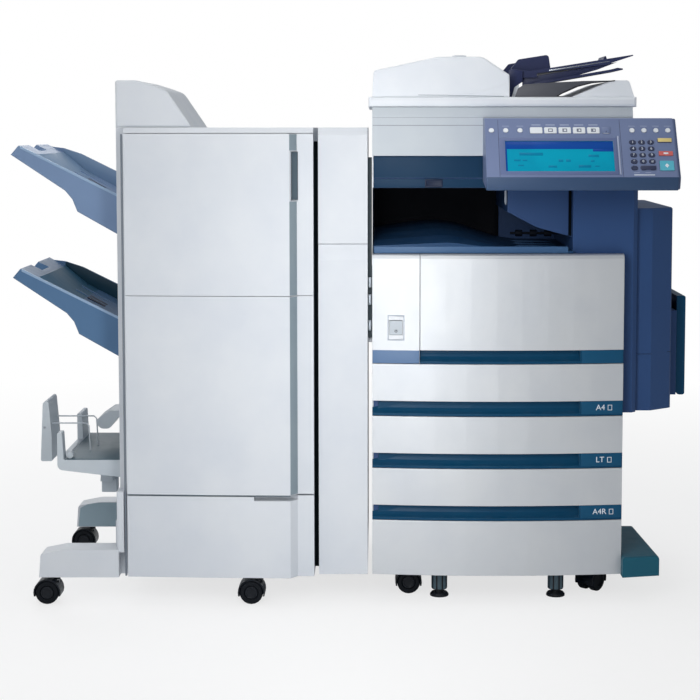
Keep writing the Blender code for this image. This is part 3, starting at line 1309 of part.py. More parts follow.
def make_finisher_frame():
    """Body of the finisher with its fixed bottom cover, top cap and the recess behind the doors."""
    front = DOOR_BACK + SEAT
    low, high = FINISHER_BOTTOM, FINISHER_TOP
    body = box((FINISHER_LEFT, FINISHER_RIGHT), (front, FINISHER_BACK), (low, high))
    recess = box((DOOR_LEFT + INNER_MARGIN, FINISHER_RIGHT - INNER_MARGIN),
                 (front - CUT, front + INNER_DEPTH),
                 (DOOR_BOTTOM + INNER_MARGIN, high - FINISHER_CAP - INNER_MARGIN))
    slots = [box((FINISHER_LEFT - CUT, FINISHER_LEFT + HOOK_REACH + RUN), grown(span, RUN),
                 (SLOT_LOW, SLOT_HIGH))
             for span in hook_spans()]
    body = cut(body, recess, *slots)
    bottom = prism(door_plan(front + WALL), "Z", low, DOOR_BOTTOM - SEAM)
    notch_left = FINISHER_RIGHT - DOOR_STRIP - NOTCH_LENGTH
    notch = box((notch_left, notch_left + NOTCH_LENGTH),
                (FINISHER_FRONT - CUT, FINISHER_FRONT + 2 * DOOR_STEP - 2 * WALL),
                (DOOR_BOTTOM - SEAM - NOTCH_HEIGHT, DOOR_BOTTOM + CUT))
    bottom = cut(bottom, notch)
    cap_low = high - FINISHER_CAP
    cap = prism([(FINISHER_FRONT + FINISHER_SWEEP, cap_low),
                 (FINISHER_FRONT + FINISHER_SWEEP + FINISHER_CAP, high),
                 (front + WALL, high), (front + WALL, cap_low)], "X", DOOR_LEFT, FINISHER_RIGHT)
    inner = front + INNER_DEPTH
    bosses = [prism(circle(x, z, KNOB_RADIUS, 12), "Y", inner - KNOB_HEIGHT, inner + WALL) for x,
              z in knob_places()]
    piece("finisher_frame", fuse(body, bottom, cap, *bosses), WHITE)


def knob_places():
    """Places of the jam-clearing knob bosses behind the doors."""
    left = DOOR_LEFT + FINISHER_WIDTH * 0.35
    return [(left, DOOR_SPLIT + 0.16), (left + 0.12, DOOR_SPLIT + 0.10), (left, DOOR_SPLIT - 0.14),
            (left + 0.12, DOOR_SPLIT - 0.26)]


def make_doors():
    """Upper and lower doors of the finisher, hinged at the left."""
    top = FINISHER_TOP - FINISHER_CAP - SEAM
    upper = prism(door_plan(DOOR_BACK), "Z", DOOR_SPLIT + SEAM, top)
    face_right = FINISHER_RIGHT - DOOR_STRIP - DOOR_CHAMFER
    pocket = box((face_right + WALL, face_right + DOOR_CHAMFER + WALL),
                 (FINISHER_FRONT - CUT, FINISHER_FRONT + DOOR_STEP + HANDLE_DEPTH),
                 (HANDLE_TOP - HANDLE_HEIGHT, HANDLE_TOP))
    piece("finisher_upper_door", cut(upper, pocket), WHITE, door_hinge(DOOR_SPLIT))
    lower = prism(door_plan(DOOR_BACK), "Z", DOOR_BOTTOM + 2 * SEAM, DOOR_SPLIT)
    piece("finisher_lower_door", lower, WHITE, door_hinge(DOOR_BOTTOM))


def make_hood_cover():
    """Raised cover over the paper path at the finisher's top left, with a swept fall to the right."""
    low = FINISHER_TOP + SEAT
    left = FINISHER_LEFT
    right = left + HOOD_WIDTH
    top = low + HOOD_TOP
    shoulder = right - HOOD_FALL
    corners = [(left, low, 0), (right, low, 0), (right - HOOD_FALL * 0.12, low + HOOD_STEP, HOOD_ROUND / 2),
               (shoulder, top - 2.2 * HOOD_STEP, HOOD_ROUND),
               (shoulder - HOOD_ROUND, top - 1.1 * HOOD_STEP, HOOD_ROUND),
               (left + HOOD_FLAT, top, HOOD_ROUND), (left, top, HOOD_STEP / 2)]
    hood = prism(outline(corners, 4), "Y", HOOD_FRONT, HOOD_FRONT + HOOD_DEPTH)
    piece("finisher_hood", soften(hood, HOOD_SOFT, 2, edges_at("Y", HOOD_FRONT)), WHITE)


def make_punch_unit():
    """Narrow punch unit with its docking brackets."""
    right = -PUNCH_GAP
    left = right - PUNCH_WIDTH
    back = PUNCH_FRONT + PUNCH_DEPTH
    low, high = FINISHER_BOTTOM, FINISHER_TOP
    lean = PUNCH_BEVEL * 0.35
    side = [(PUNCH_FRONT, low), (PUNCH_FRONT, PUNCH_SEAM - PUNCH_BAND),
            (PUNCH_FRONT + lean, PUNCH_SEAM - SEAM),
            (PUNCH_FRONT + 2 * lean, PUNCH_SEAM - SEAM), (PUNCH_FRONT + 2 * lean, PUNCH_SEAM),
            (PUNCH_FRONT, PUNCH_SEAM),
            (PUNCH_FRONT, high - PUNCH_BEVEL), (PUNCH_FRONT + PUNCH_BEVEL, high), (back, high), (back, low)]
    body = prism(side, "X", left, right)
    flange = box((FINISHER_RIGHT + SEAT, left + WALL), grown((PUNCH_FRONT, back), -FLANGE_INSET),
                 (DOOR_BOTTOM, high - FLANGE_INSET))
    dock = box((right - WALL, -SEAT), (PUNCH_FRONT + 0.05, back - 0.10), (COVER_TOP - 0.20, COVER_TOP - 0.06))
    piece("punch_unit", fuse(body, flange, dock), WHITE)


def hook_spans():
    """Depth spans of the two hooks that carry a stack tray."""
    quarter = TRAY_WIDTH / 4
    return [(TRAY_FRONT + quarter * part - HOOK_WIDTH / 2, TRAY_FRONT + quarter * part + HOOK_WIDTH / 2)
            for part in (1, 3)]


def make_stack_tray(name, rim):
    """Sloping stack tray with a sunk floor, a hollow underside and hooks into the finisher's slots."""
    right = FINISHER_LEFT - SEAT
    tip = TRAY_TIP_X
    rise = math.tan(TRAY_SLOPE)
    length = right - tip

    def slope(x, drop):
        return rim + (right - x) * rise - drop
    knee = right - TRAY_KNEE
    turn = TRAY_KNEE / 10
    start = tip + TRAY_TIP * 0.6
    bend = right - length * 0.55
    corners = [(right, slope(right, TRAY_DEEP), 0), (right, slope(right, 0), 0), (start, slope(start, 0), 0),
               (tip, slope(tip, TRAY_TIP), 0), (knee - 2 * turn, slope(knee - 2 * turn, TRAY_TIP * 1.7), 0),
               (knee - turn / 2, slope(knee, TRAY_TIP * 2), 0),
               (knee + turn / 2, slope(knee, TRAY_DEEP * 0.95), 0)]
    y = (TRAY_FRONT, TRAY_FRONT + TRAY_WIDTH)
    body = soften(prism(outline(corners), "Y", *y), TRAY_WALL * 0.4, 1, edges_at("Y", y[0]))
    shallow = tip + 2 * TRAY_TIP
    well = prism([(right + CUT, slope(right, TRAY_WELL) - CUT * rise), (right + CUT, rim + CUT),
                  (shallow, slope(shallow, -CUT)),
                  (shallow, slope(shallow, 0)), (bend, slope(bend, TRAY_WELL * 0.7))],
                 "Y", y[0] + TRAY_WALL, y[1] - TRAY_WALL)
    under = TRAY_WELL + TRAY_FLOOR
    hollow = prism([(right - TRAY_WALL, slope(right, TRAY_DEEP) - CUT),
                    (right - TRAY_WALL, slope(right - TRAY_WALL, under)),
                    (knee + 3 * TRAY_WALL, slope(knee + 3 * TRAY_WALL, under)),
                    (knee + 3 * TRAY_WALL, slope(right, TRAY_DEEP) - CUT)],
                   "Y", y[0] + TRAY_WALL, y[1] - TRAY_WALL)
    crown = prism([(right, slope(right, TRAY_WALL)), (tip + TRAY_TIP, slope(tip + TRAY_TIP, TRAY_WALL)),
                   (tip + TRAY_TIP, slope(tip + TRAY_TIP, 0)),
                   (tip + 2 * TRAY_TIP, slope(tip + 2 * TRAY_TIP, -TRAY_CROWN * 0.6)),
                   (right - length * 0.6, slope(right - length * 0.6, -TRAY_CROWN)),
                   (right, slope(right, -TRAY_CROWN))],
                  "Y", y[1] - TRAY_WALL, y[1])
    rail = [(right, slope(right, TRAY_WELL + WALL / 2)), (right, slope(right, TRAY_WELL - TRAY_RAIL_HEIGHT)),
            (bend, slope(bend, TRAY_WELL * 0.7 - TRAY_RAIL_HEIGHT)),
            (bend, slope(bend, TRAY_WELL * 0.7 + WALL / 2))]
    places = [y[0] + TRAY_WIDTH * (number + 1) / (TRAY_RAILS + 1) for number in range(TRAY_RAILS)]
    rails = [prism(rail, "Y", place - TRAY_RAIL / 2, place + TRAY_RAIL / 2) for place in places]
    finger = box((tip - CUT, tip + 1.5 * TRAY_TIP), (y[0] + TRAY_WIDTH * 0.35, y[0] + TRAY_WIDTH * 0.6),
                 (0, 2))
    middle = slope(right, TRAY_DEEP * 0.55)
    hooks = [box((right - TRAY_WALL / 2, FINISHER_LEFT + HOOK_REACH), span,
                 (middle - HOOK_HEIGHT / 2, middle + HOOK_HEIGHT / 2))
             for span in hook_spans()]
    piece(name, fuse(cut(body, well, hollow, finger), crown, *rails, *hooks), STEEL_BLUE,
          (right, TRAY_FRONT, rim))


def make_saddle_tray():
    """Booklet tray with two posts, the sliding stopper with its wires and the paper flapper."""
    right = FINISHER_LEFT - SEAT
    left = FINISHER_LEFT - SADDLE_LENGTH
    y = (SADDLE_FRONT, SADDLE_FRONT + SADDLE_WIDTH)
    post = left + SADDLE_POST_THICK
    edge = SADDLE_CORNER / 4
    bottom = SADDLE_FLOOR - SADDLE_THICK
    corners = [(left, SADDLE_FLOOR + SADDLE_POST, edge), (left, bottom, SADDLE_CORNER),
               (right, bottom - SADDLE_THICK * 0.8, 0),
               (right, SADDLE_FLOOR, 0), (post + edge, SADDLE_FLOOR, edge),
               (post, SADDLE_FLOOR + SADDLE_POST, edge)]
    body = prism(outline(corners, 3), "Y", *y)
    gap = box((left - CUT, post + WALL), (y[0] + SADDLE_GAP_FRONT, y[1] - SADDLE_GAP_BACK),
              (SADDLE_FLOOR, SADDLE_FLOOR + CUT))
    near = right - SADDLE_BRACKET_INSET
    far = near - SADDLE_BRACKET
    drop = bottom - SADDLE_THICK * 1.8
    bracket = prism([(far, drop), (far + edge, bottom), (near, bottom), (near, drop)],
                    "Y", y[0] + SADDLE_BRACKET_DEPTH, y[0] + 2 * SADDLE_BRACKET_DEPTH)
    piece("saddle_tray", fuse(cut(body, gap), bracket), GREY)
    make_stopper(left, y)
    make_flapper(right, y)


def make_stopper(left, y):
    """Stopper paddle outside the booklet tray, with two bent wires that reach in over its floor."""
    middle = y[0] + 0.030 + (SADDLE_WIDTH - 0.110) / 2
    right = left - 0.030 + SEAT
    span = (middle - PADDLE_WIDTH / 2, middle + PADDLE_WIDTH / 2)
    low, high = PADDLE_BOTTOM, PADDLE_BOTTOM + PADDLE_HEIGHT
    corners = [(right - PADDLE_THICK, low, 0.004), (right, low, 0.002), (right, low + PADDLE_HEIGHT * 0.4, 0),
               (right - PADDLE_THICK * 0.28, high, 0.005), (right - PADDLE_THICK * 0.75, high - 0.012, 0.006)]
    paddle = solid(prism(outline(corners, 3), "Y", *span))
    wires = [wire(right, SADDLE_FLOOR + WIRE_HEIGHT + drop, middle + side * PADDLE_WIDTH * 0.3, reach)
             for side, drop, reach in ((-1, -0.006, WIRE_REACH - 0.008), (1, 0.0, WIRE_REACH))]
    piece("saddle_stopper", fuse(paddle, *wires), GREY, (right, middle, low))


def wire(start, height, depth, reach):
    """Bent wire of square-cornered route: out from the paddle, then down to the tray's floor."""
    end = start + reach
    foot = SADDLE_FLOOR + 2 * SEAT
    sections = []
    for place, run in (((start - WALL, height), (1, 0)), ((end - 2 * WALL, height), (1, -0.15)),
                       ((end, height - 2 * WALL), (0.15, -1)), ((end + WALL, foot), (0.15, -1))):
        along = Vector((run[0], 0, run[1])).normalized()
        up = Vector((0, 1, 0)).cross(along)
        centre = Vector((place[0], depth, place[1]))
        sections.append([centre + (up * point[0] + Vector((0, 1, 0)) * point[1])
                         for point in circle(0, 0, WIRE_RADIUS, 8)])
    return loft(sections)


def flapper_hinge():
    """Point on the axis of the flapper beside the finisher's left side."""
    return FINISHER_LEFT - FLAPPER_ROOT - RUN, SADDLE_FRONT + SADDLE_WIDTH / 2, FLAPPER_Z


def make_flapper(right, y):
    """Lobed arm that presses folded sheets down."""
    hinge = flapper_hinge()
    x, z = hinge[0], hinge[2]
    tip = right - FLAPPER_LENGTH
    root = FLAPPER_ROOT
    lobe = root * 5
    corners = [(x + root, z + root, root * 0.99), (x - 4 * root, z + root, 2 * root),
               (tip + lobe, z + root, root),
               (tip, z - 2.5 * root, 1.4 * root), (tip + 0.4 * lobe, z - lobe, 2 * root),
               (tip + lobe, z - lobe, 2 * root),
               (x - 3 * root, z - root, 2 * root), (x + root, z - root, root * 0.99)]
    span = (hinge[1] - FLAPPER_WIDTH / 2, hinge[1] + FLAPPER_WIDTH / 2)
    piece("saddle_flapper", prism(outline(corners, 3), "Y", *span), GREY, hinge)


def make_legs():
    """Two legs that reach out under the trays, joined by a plate on the finisher's side."""
    right = FINISHER_LEFT - SEAT
    left = FINISHER_LEFT - LEG_REACH
    low = FINISHER_BOTTOM
    corners = [(left + LEG_TOE / 3, low, 0), (right, low, 0), (right, low + LEG_HEIGHT, 0),
               (left + LEG_ARCH, low + LEG_HEIGHT, LEG_ARCH * 0.9),
               (left + LEG_TOE, low + LEG_HEIGHT - LEG_TOE * 1.6, LEG_TOE)]
    plate = solid(box((right - LEG_PLATE, right),
                      (LEG_FRONT + LEG_WIDTH / 2, LEG_FRONT + LEG_SPACING + LEG_WIDTH / 2),
                      (low, low + LEG_PLATE_HEIGHT)))
    legs = [prism(outline(corners, 3), "Y", LEG_FRONT + shift, LEG_FRONT + shift + LEG_WIDTH)
            for shift in (0, LEG_SPACING)]
    piece("finisher_legs", fuse(plate, *legs), WHITE)


def main():
    """Build every piece."""
    make_chassis()
    make_rear_cover()
    make_fixed_fronts()
    make_front_cover()
    for number in range(DRAWERS):
        make_drawer(number + 1)
    make_exit_tray()
    make_engine_pieces()
    make_scanner()
    make_lid()
    make_feeder()
    make_input_tray()
    make_control_panel()
    make_side_cover()
    make_stabiliser()
    make_feet()
    make_casters()
    make_finisher_frame()
    make_doors()
    make_hood_cover()
    make_punch_unit()
    make_stack_tray("upper_tray", UPPER_TRAY_Z)
    make_stack_tray("lower_tray", LOWER_TRAY_Z)
    make_saddle_tray()
    make_legs()


for leftover in list(bpy.data.objects):
    bpy.data.objects.remove(leftover, do_unlink=True)
ROOT = frame("copier_root", (-CENTRE_X, -CENTRE_Y, 0))
main()
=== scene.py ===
"""Looks of a floor-standing office copier with a docked finisher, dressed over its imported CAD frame.

The CAD nodes keep their shapes. This script gives every node a finish, and adds the small moulded,
printed and metal pieces that show on such a machine: trims, seams, keys, rollers, signs and louvres.
Sizes are in metres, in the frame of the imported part: +X right, +Y back, +Z up.
"""

from __future__ import annotations

import json
import logging
import math
from dataclasses import dataclass, field
from enum import Enum
from functools import cache
from typing import Callable, Iterable, Sequence

import bpy
from mathutils import Matrix, Vector

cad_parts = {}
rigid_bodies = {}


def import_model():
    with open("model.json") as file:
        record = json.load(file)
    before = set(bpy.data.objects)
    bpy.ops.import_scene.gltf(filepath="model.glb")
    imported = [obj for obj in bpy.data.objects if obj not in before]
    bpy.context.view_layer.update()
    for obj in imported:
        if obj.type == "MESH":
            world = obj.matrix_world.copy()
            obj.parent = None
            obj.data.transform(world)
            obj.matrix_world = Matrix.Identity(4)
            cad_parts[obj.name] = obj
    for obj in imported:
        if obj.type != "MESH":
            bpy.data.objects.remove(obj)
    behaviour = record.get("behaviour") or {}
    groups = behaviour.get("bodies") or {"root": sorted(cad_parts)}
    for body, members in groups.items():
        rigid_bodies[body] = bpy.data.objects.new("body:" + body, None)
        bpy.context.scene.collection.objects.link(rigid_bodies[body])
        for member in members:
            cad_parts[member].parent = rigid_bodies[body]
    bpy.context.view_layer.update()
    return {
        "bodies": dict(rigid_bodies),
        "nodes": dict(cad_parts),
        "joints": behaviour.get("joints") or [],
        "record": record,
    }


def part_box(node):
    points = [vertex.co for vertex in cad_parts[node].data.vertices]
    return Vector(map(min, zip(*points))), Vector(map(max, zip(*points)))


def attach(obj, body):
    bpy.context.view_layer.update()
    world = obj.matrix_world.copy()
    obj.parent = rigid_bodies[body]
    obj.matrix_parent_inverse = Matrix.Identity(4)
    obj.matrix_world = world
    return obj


LOG = logging.getLogger("copier")
# Least share of a face's normal that lies along the way it is said to look
FACING = 0.9
# Short names of types: a Spot is a pair of sizes or places, a Span four edges or colour channels
Thing = bpy.types.Object
Node = bpy.types.Node
Socket = bpy.types.NodeSocket
Point = Sequence[float]
Spot = tuple[float, float]
Triple = tuple[float, float, float]
Span = tuple[float, float, float, float]
Test = Callable[[Vector, Vector], bool]


class Axis(Enum):
    """Direction that a turned or extruded piece runs along."""

    X = 0
    Y = 1
    Z = 2


class Side(Enum):
    """Way that a face looks, as the number of its axis and a sign."""

    RIGHT = (0, 1)
    AHEAD = (1, -1)
    BEHIND = (1, 1)
    UP = (2, 1)
    DOWN = (2, -1)

    def sees(self, middle: Vector, normal: Vector) -> bool:
        """Whether a face with this middle and normal looks this way."""
        axis, sign = self.value
        return normal[axis] * sign > FACING

    def out(self, rise: float) -> Vector:
        """Move that draws such a face out.

        Args:
            rise: How far it is drawn out, or below zero how far it is sunk.

        Returns:
            The move.
        """
        axis, sign = self.value
        move = Vector((0, 0, 0))
        move[axis] = sign * rise
        return move


class Slot(Enum):
    """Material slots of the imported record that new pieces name."""

    WHITE = "white_plastic"
    NAVY = "navy_plastic"
    TEAL = "teal_plastic"
    BLUE = "blue_plastic"
    SLATE = "slate_plastic"
    GREY = "grey_plastic"
    BLACK = "black_plastic"
    KEY = "key_white"
    SCREEN = "screen"
    CASTER = "caster_black"


# Modelling bench

class Bench:
    """Small set of modelling moves, made with the same operators as by hand.

    Attributes:
        sharp_angle: Edges sharper than this are bevelled, in degrees.
        smooth_angle: Edges flatter than this are shaded smooth.
        rod_angle: The same for rods.
    """

    sharp_angle = 35.0
    smooth_angle = 40.0
    rod_angle = 50.0

    @staticmethod
    def clear() -> None:
        """Leave edit mode and deselect everything."""
        if bpy.context.object and bpy.context.object.mode != "OBJECT":
            bpy.ops.object.mode_set(mode="OBJECT")
        bpy.ops.object.select_all(action="DESELECT")

    @staticmethod
    def hold(thing: Thing) -> None:
        """Select one object and make it active.

        Args:
            thing: The object.
        """
        Bench.clear()
        thing.select_set(True)
        bpy.context.view_layer.objects.active = thing

    @staticmethod
    def settle(thing: Thing, name: str) -> Thing:
        """Name an object and move its place into its mesh.

        Args:
            thing: The object, still placed by its transform.
            name: The piece's name.

        Returns:
            The same object, at the origin.
        """
        Bench.hold(thing)
        thing.name = name
        thing.data.name = name
        bpy.ops.object.transform_apply(location=True, rotation=True, scale=True)
        return thing

    @staticmethod
    def block(name: str, low: Point, high: Point) -> Thing:
        """Box as a start for a piece.

        Args:
            name: The piece's name.
            low: Its lowest corner.
            high: Its highest corner.

        Returns:
            The new object.
        """
        Bench.clear()
        centre = (Vector(low) + Vector(high)) / 2
        bpy.ops.mesh.primitive_cube_add(size=1.0, location=centre)
        thing = bpy.context.object
        thing.scale = Vector(high) - Vector(low)
        return Bench.settle(thing, name)

    @staticmethod
    def drum(name: str, centre: Point, radius: float, length: float, axis: Axis,
             sides: int = 32) -> Thing:
        """Cylinder about an axis, as a start for a piece.

        Args:
            name: The piece's name.
            centre: Its middle.
            radius: Its radius.
            length: Its length along the axis.
            axis: The axis it runs along.
            sides: How many sides it has.

        Returns:
            The new object.
        """
        Bench.clear()
        turn = {Axis.X: (0, math.pi / 2, 0), Axis.Y: (math.pi / 2, 0, 0), Axis.Z: (0, 0, 0)}[axis]
        bpy.ops.mesh.primitive_cylinder_add(vertices=sides, radius=radius, depth=length,
                                            location=centre, rotation=turn)
        return Bench.settle(bpy.context.object, name)

    @staticmethod
    def push(thing: Thing, test: Test, inset: float, move: Point) -> Thing:
        """Inset picked faces and extrude them by a move.

        Args:
            thing: The piece.
            test: Picks faces by their middle and normal.
            inset: Width of the margin left round the faces.
            move: How far the faces are drawn out.

        Returns:
            The same piece.
        """
        Bench.hold(thing)
        bpy.ops.object.mode_set(mode="EDIT")
        bpy.ops.mesh.select_mode(type="FACE")
        bpy.ops.mesh.select_all(action="DESELECT")
        bpy.ops.object.mode_set(mode="OBJECT")
        for face in thing.data.polygons:
            face.select = test(face.center, face.normal)
        bpy.ops.object.mode_set(mode="EDIT")
        bpy.ops.mesh.inset(thickness=inset, depth=0)
        bpy.ops.mesh.extrude_region_move(TRANSFORM_OT_translate={"value": tuple(move)})
        bpy.ops.object.mode_set(mode="OBJECT")
        return thing

    @staticmethod
    def panel(name: str, low: Point, high: Point, side: Side, inset: float, rise: float) -> Thing:
        """Box with a raised or sunk field on one side.

        Args:
            name: The piece's name.
            low: Its lowest corner.
            high: Its highest corner.
            side: The side that has the field.
            inset: Width of the margin round the field.
            rise: How far the field stands out, or below zero how far it is sunk.

        Returns:
            The new object.
        """
        return Bench.push(Bench.block(name, low, high), side.sees, inset, side.out(rise))

    @staticmethod
    def round_off(thing: Thing, width: float, segments: int = 3) -> Thing:
        """Bevel every sharp edge, and shade the piece smooth.

        Args:
            thing: The piece.
            width: Width of the bevel.
            segments: How many faces it has across.

        Returns:
            The same piece.
        """
        Bench.hold(thing)
        bevel = thing.modifiers.new("round", "BEVEL")
        bevel.width = width
        bevel.segments = segments
        bevel.limit_method = "ANGLE"
        bevel.angle_limit = math.radians(Bench.sharp_angle)
        bevel.harden_normals = False
        bpy.ops.object.modifier_apply(modifier=bevel.name)
        bpy.ops.object.shade_smooth_by_angle(angle=math.radians(Bench.smooth_angle))
        return thing

    @staticmethod
    def carve(thing: Thing, tool: Thing) -> Thing:
        """Cut a tool out of a piece, and remove the tool.

        Args:
            thing: The piece.
            tool: Another object, which goes.

        Returns:
            The same piece.
        """
        Bench.hold(thing)
        step = thing.modifiers.new("carve", "BOOLEAN")
        step.operation = "DIFFERENCE"
        step.solver = "EXACT"
        step.object = tool
        bpy.ops.object.modifier_apply(modifier=step.name)
        bpy.data.objects.remove(tool, do_unlink=True)
        return thing

    @staticmethod
    def merge(name: str, things: Iterable[Thing]) -> Thing:
        """Join objects into one piece.

        Args:
            name: The piece's name.
            things: The objects.

        Returns:
            The first of them, with the others joined on.
        """
        group = list(things)
        Bench.clear()
        for thing in group:
            thing.select_set(True)
        bpy.context.view_layer.objects.active = group[0]
        if len(group) > 1:
            bpy.ops.object.join()
        return Bench.settle(group[0], name)

    @staticmethod
    def profile(name: str, axis: Axis, outline: Sequence[Spot], start: float, length: float) -> Thing:
        """Outline in the plane across an axis, filled and drawn out along it into a closed solid.

        Args:
            name: The piece's name.
            axis: The axis that the outline is drawn out along.
            outline: Its corners, as (y, z) across X, (x, z) across Y or (x, y) across Z.
            start: Place of the outline along the axis.
            length: How far it is drawn out.

        Returns:
            The new object.
        """
        Bench.clear()
        bpy.ops.mesh.primitive_circle_add(vertices=len(outline), radius=1.0, fill_type="NGON")
        thing = bpy.context.object
        for vertex, corner in zip(thing.data.vertices, outline):
            place = list(corner)
            place.insert(axis.value, start)
            vertex.co = place
        thing.data.update()
        move = [0.0, 0.0, 0.0]
        move[axis.value] = length
        bpy.ops.object.mode_set(mode="EDIT")
        bpy.ops.mesh.select_all(action="SELECT")
        bpy.ops.mesh.extrude_region_move(TRANSFORM_OT_translate={"value": tuple(move)})
        bpy.ops.mesh.select_all(action="SELECT")
        bpy.ops.mesh.normals_make_consistent(inside=False)
        bpy.ops.object.mode_set(mode="OBJECT")
        return Bench.settle(thing, name)

    @staticmethod
    def rod(name: str, points: Sequence[Point], radius: float) -> Thing:
        """Round rod along a line of points.

        Args:
            name: The piece's name.
            points: Points of the rod's middle line.
            radius: The rod's radius.

        Returns:
            The new object, as a mesh.
        """
        Bench.clear()
        bpy.ops.curve.primitive_nurbs_path_add()
        thing = bpy.context.object
        curve = thing.data
        curve.splines.clear()
        line = curve.splines.new("POLY")
        line.points.add(len(points) - 1)
        for knot, place in zip(line.points, points):
            knot.co = (*place, 1.0)
        curve.bevel_depth = radius
        curve.bevel_resolution = 4
        curve.use_fill_caps = True
        bpy.ops.object.convert(target="MESH")
        thing = bpy.context.object
        bpy.ops.object.shade_smooth_by_angle(angle=math.radians(Bench.rod_angle))
        return Bench.settle(thing, name)

    @staticmethod
    def sign(name: str, words: str, size: float, place: Matrix, lift: float = 0.00015) -> Thing:
        """Flat printed sign, made a mesh.

        Args:
            name: The piece's name.
            words: Generic characters.
            size: Height of the characters.
            place: Where the sign's middle lies and how it is turned.
            lift: Thickness of the print.

        Returns:
            The new object.
        """
        Bench.clear()
        bpy.ops.object.text_add()
        thing = bpy.context.object
        thing.data.body = words
        thing.data.size = size
        thing.data.align_x = "CENTER"
        thing.data.align_y = "CENTER"
        thing.data.extrude = lift / 2
        thing.data.resolution_u = 3
        bpy.ops.object.convert(target="MESH")
        thing = bpy.context.object
        thing.matrix_world = place
        return Bench.settle(thing, name)


# Finishes

# Display colour of dust on top faces
DUST = (196, 198, 200)


def tint(red: int, green: int, blue: int) -> Span:
    """Linear colour of a display colour.

    Args:
        red: Red in steps of 255.
        green: Green in steps of 255.
        blue: Blue in steps of 255.

    Returns:
        The linear colour, opaque.
    """
    def linear(step: int) -> float:
        """Linear value of one channel."""
        value = step / 255
        return value / 12.92 if value <= 0.04045 else ((value + 0.055) / 1.055) ** 2.4
    return linear(red), linear(green), linear(blue), 1.0


class Tree:
    """Node tree under construction, with short ways to add and join nodes."""

    def __init__(self, tree: bpy.types.NodeTree) -> None:
        """Hold a node tree."""
        self.tree = tree

    def add(self, kind: str, **values: object) -> Node:
        """Add a node and set its properties.

        Args:
            kind: The node's type.
            values: Properties of the node by name.

        Returns:
            The new node.
        """
        node = self.tree.nodes.new(kind)
        for name, value in values.items():
            setattr(node, name, value)
        return node

    def join(self, source: Socket, target: Socket) -> None:
        """Link two sockets."""
        self.tree.links.new(source, target)

    def put(self, value: object, target: Socket) -> None:
        """Set an input to a plain value, or link it to an output.

        Args:
            value: The plain value or the output.
            target: The input.
        """
        if isinstance(value, Socket):
            self.join(value, target)
        else:
            target.default_value = value

    def feed(self, node: Node, **values: object) -> Node:
        """Set or link a node's inputs by name, with underscores for spaces.

        Args:
            node: The node.
            values: Plain values, or output sockets to link.

        Returns:
            The same node.
        """
        for name, value in values.items():
            self.put(value, node.inputs[name.replace("_", " ")])
        return node

    def blend(self, factor: object, first: object, second: object) -> Socket:
        """Mix two colours.

        Args:
            factor: Mask socket or number.
            first: Colour or socket at 0.
            second: Colour or socket at 1.

        Returns:
            The mixed colour.
        """
        node = self.add("ShaderNodeMix", data_type="RGBA")
        for number, value in ((0, factor), (6, first), (7, second)):
            self.put(value, node.inputs[number])
        return node.outputs[2]

    def sum(self, kind: str, *values: object) -> Socket:
        """Math node on sockets or numbers.

        Args:
            kind: Its operation.
            values: Sockets or numbers.

        Returns:
            The result.
        """
        node = self.add("ShaderNodeMath", operation=kind)
        for socket, value in zip(node.inputs, values):
            self.put(value, socket)
        return node.outputs[0]

    def span(self, value: Socket, low: float, high: float, start: float,
             end: float) -> Socket:
        """Value mapped from one span to another, held at the ends.

        Args:
            value: The value.
            low: Value that is mapped to start.
            high: Value that is mapped to end.
            start: Result at low.
            end: Result at high.

        Returns:
            The result.
        """
        node = self.add("ShaderNodeMapRange")
        self.feed(node, Value=value, From_Min=low, From_Max=high, To_Min=start, To_Max=end)
        return node.outputs["Result"]


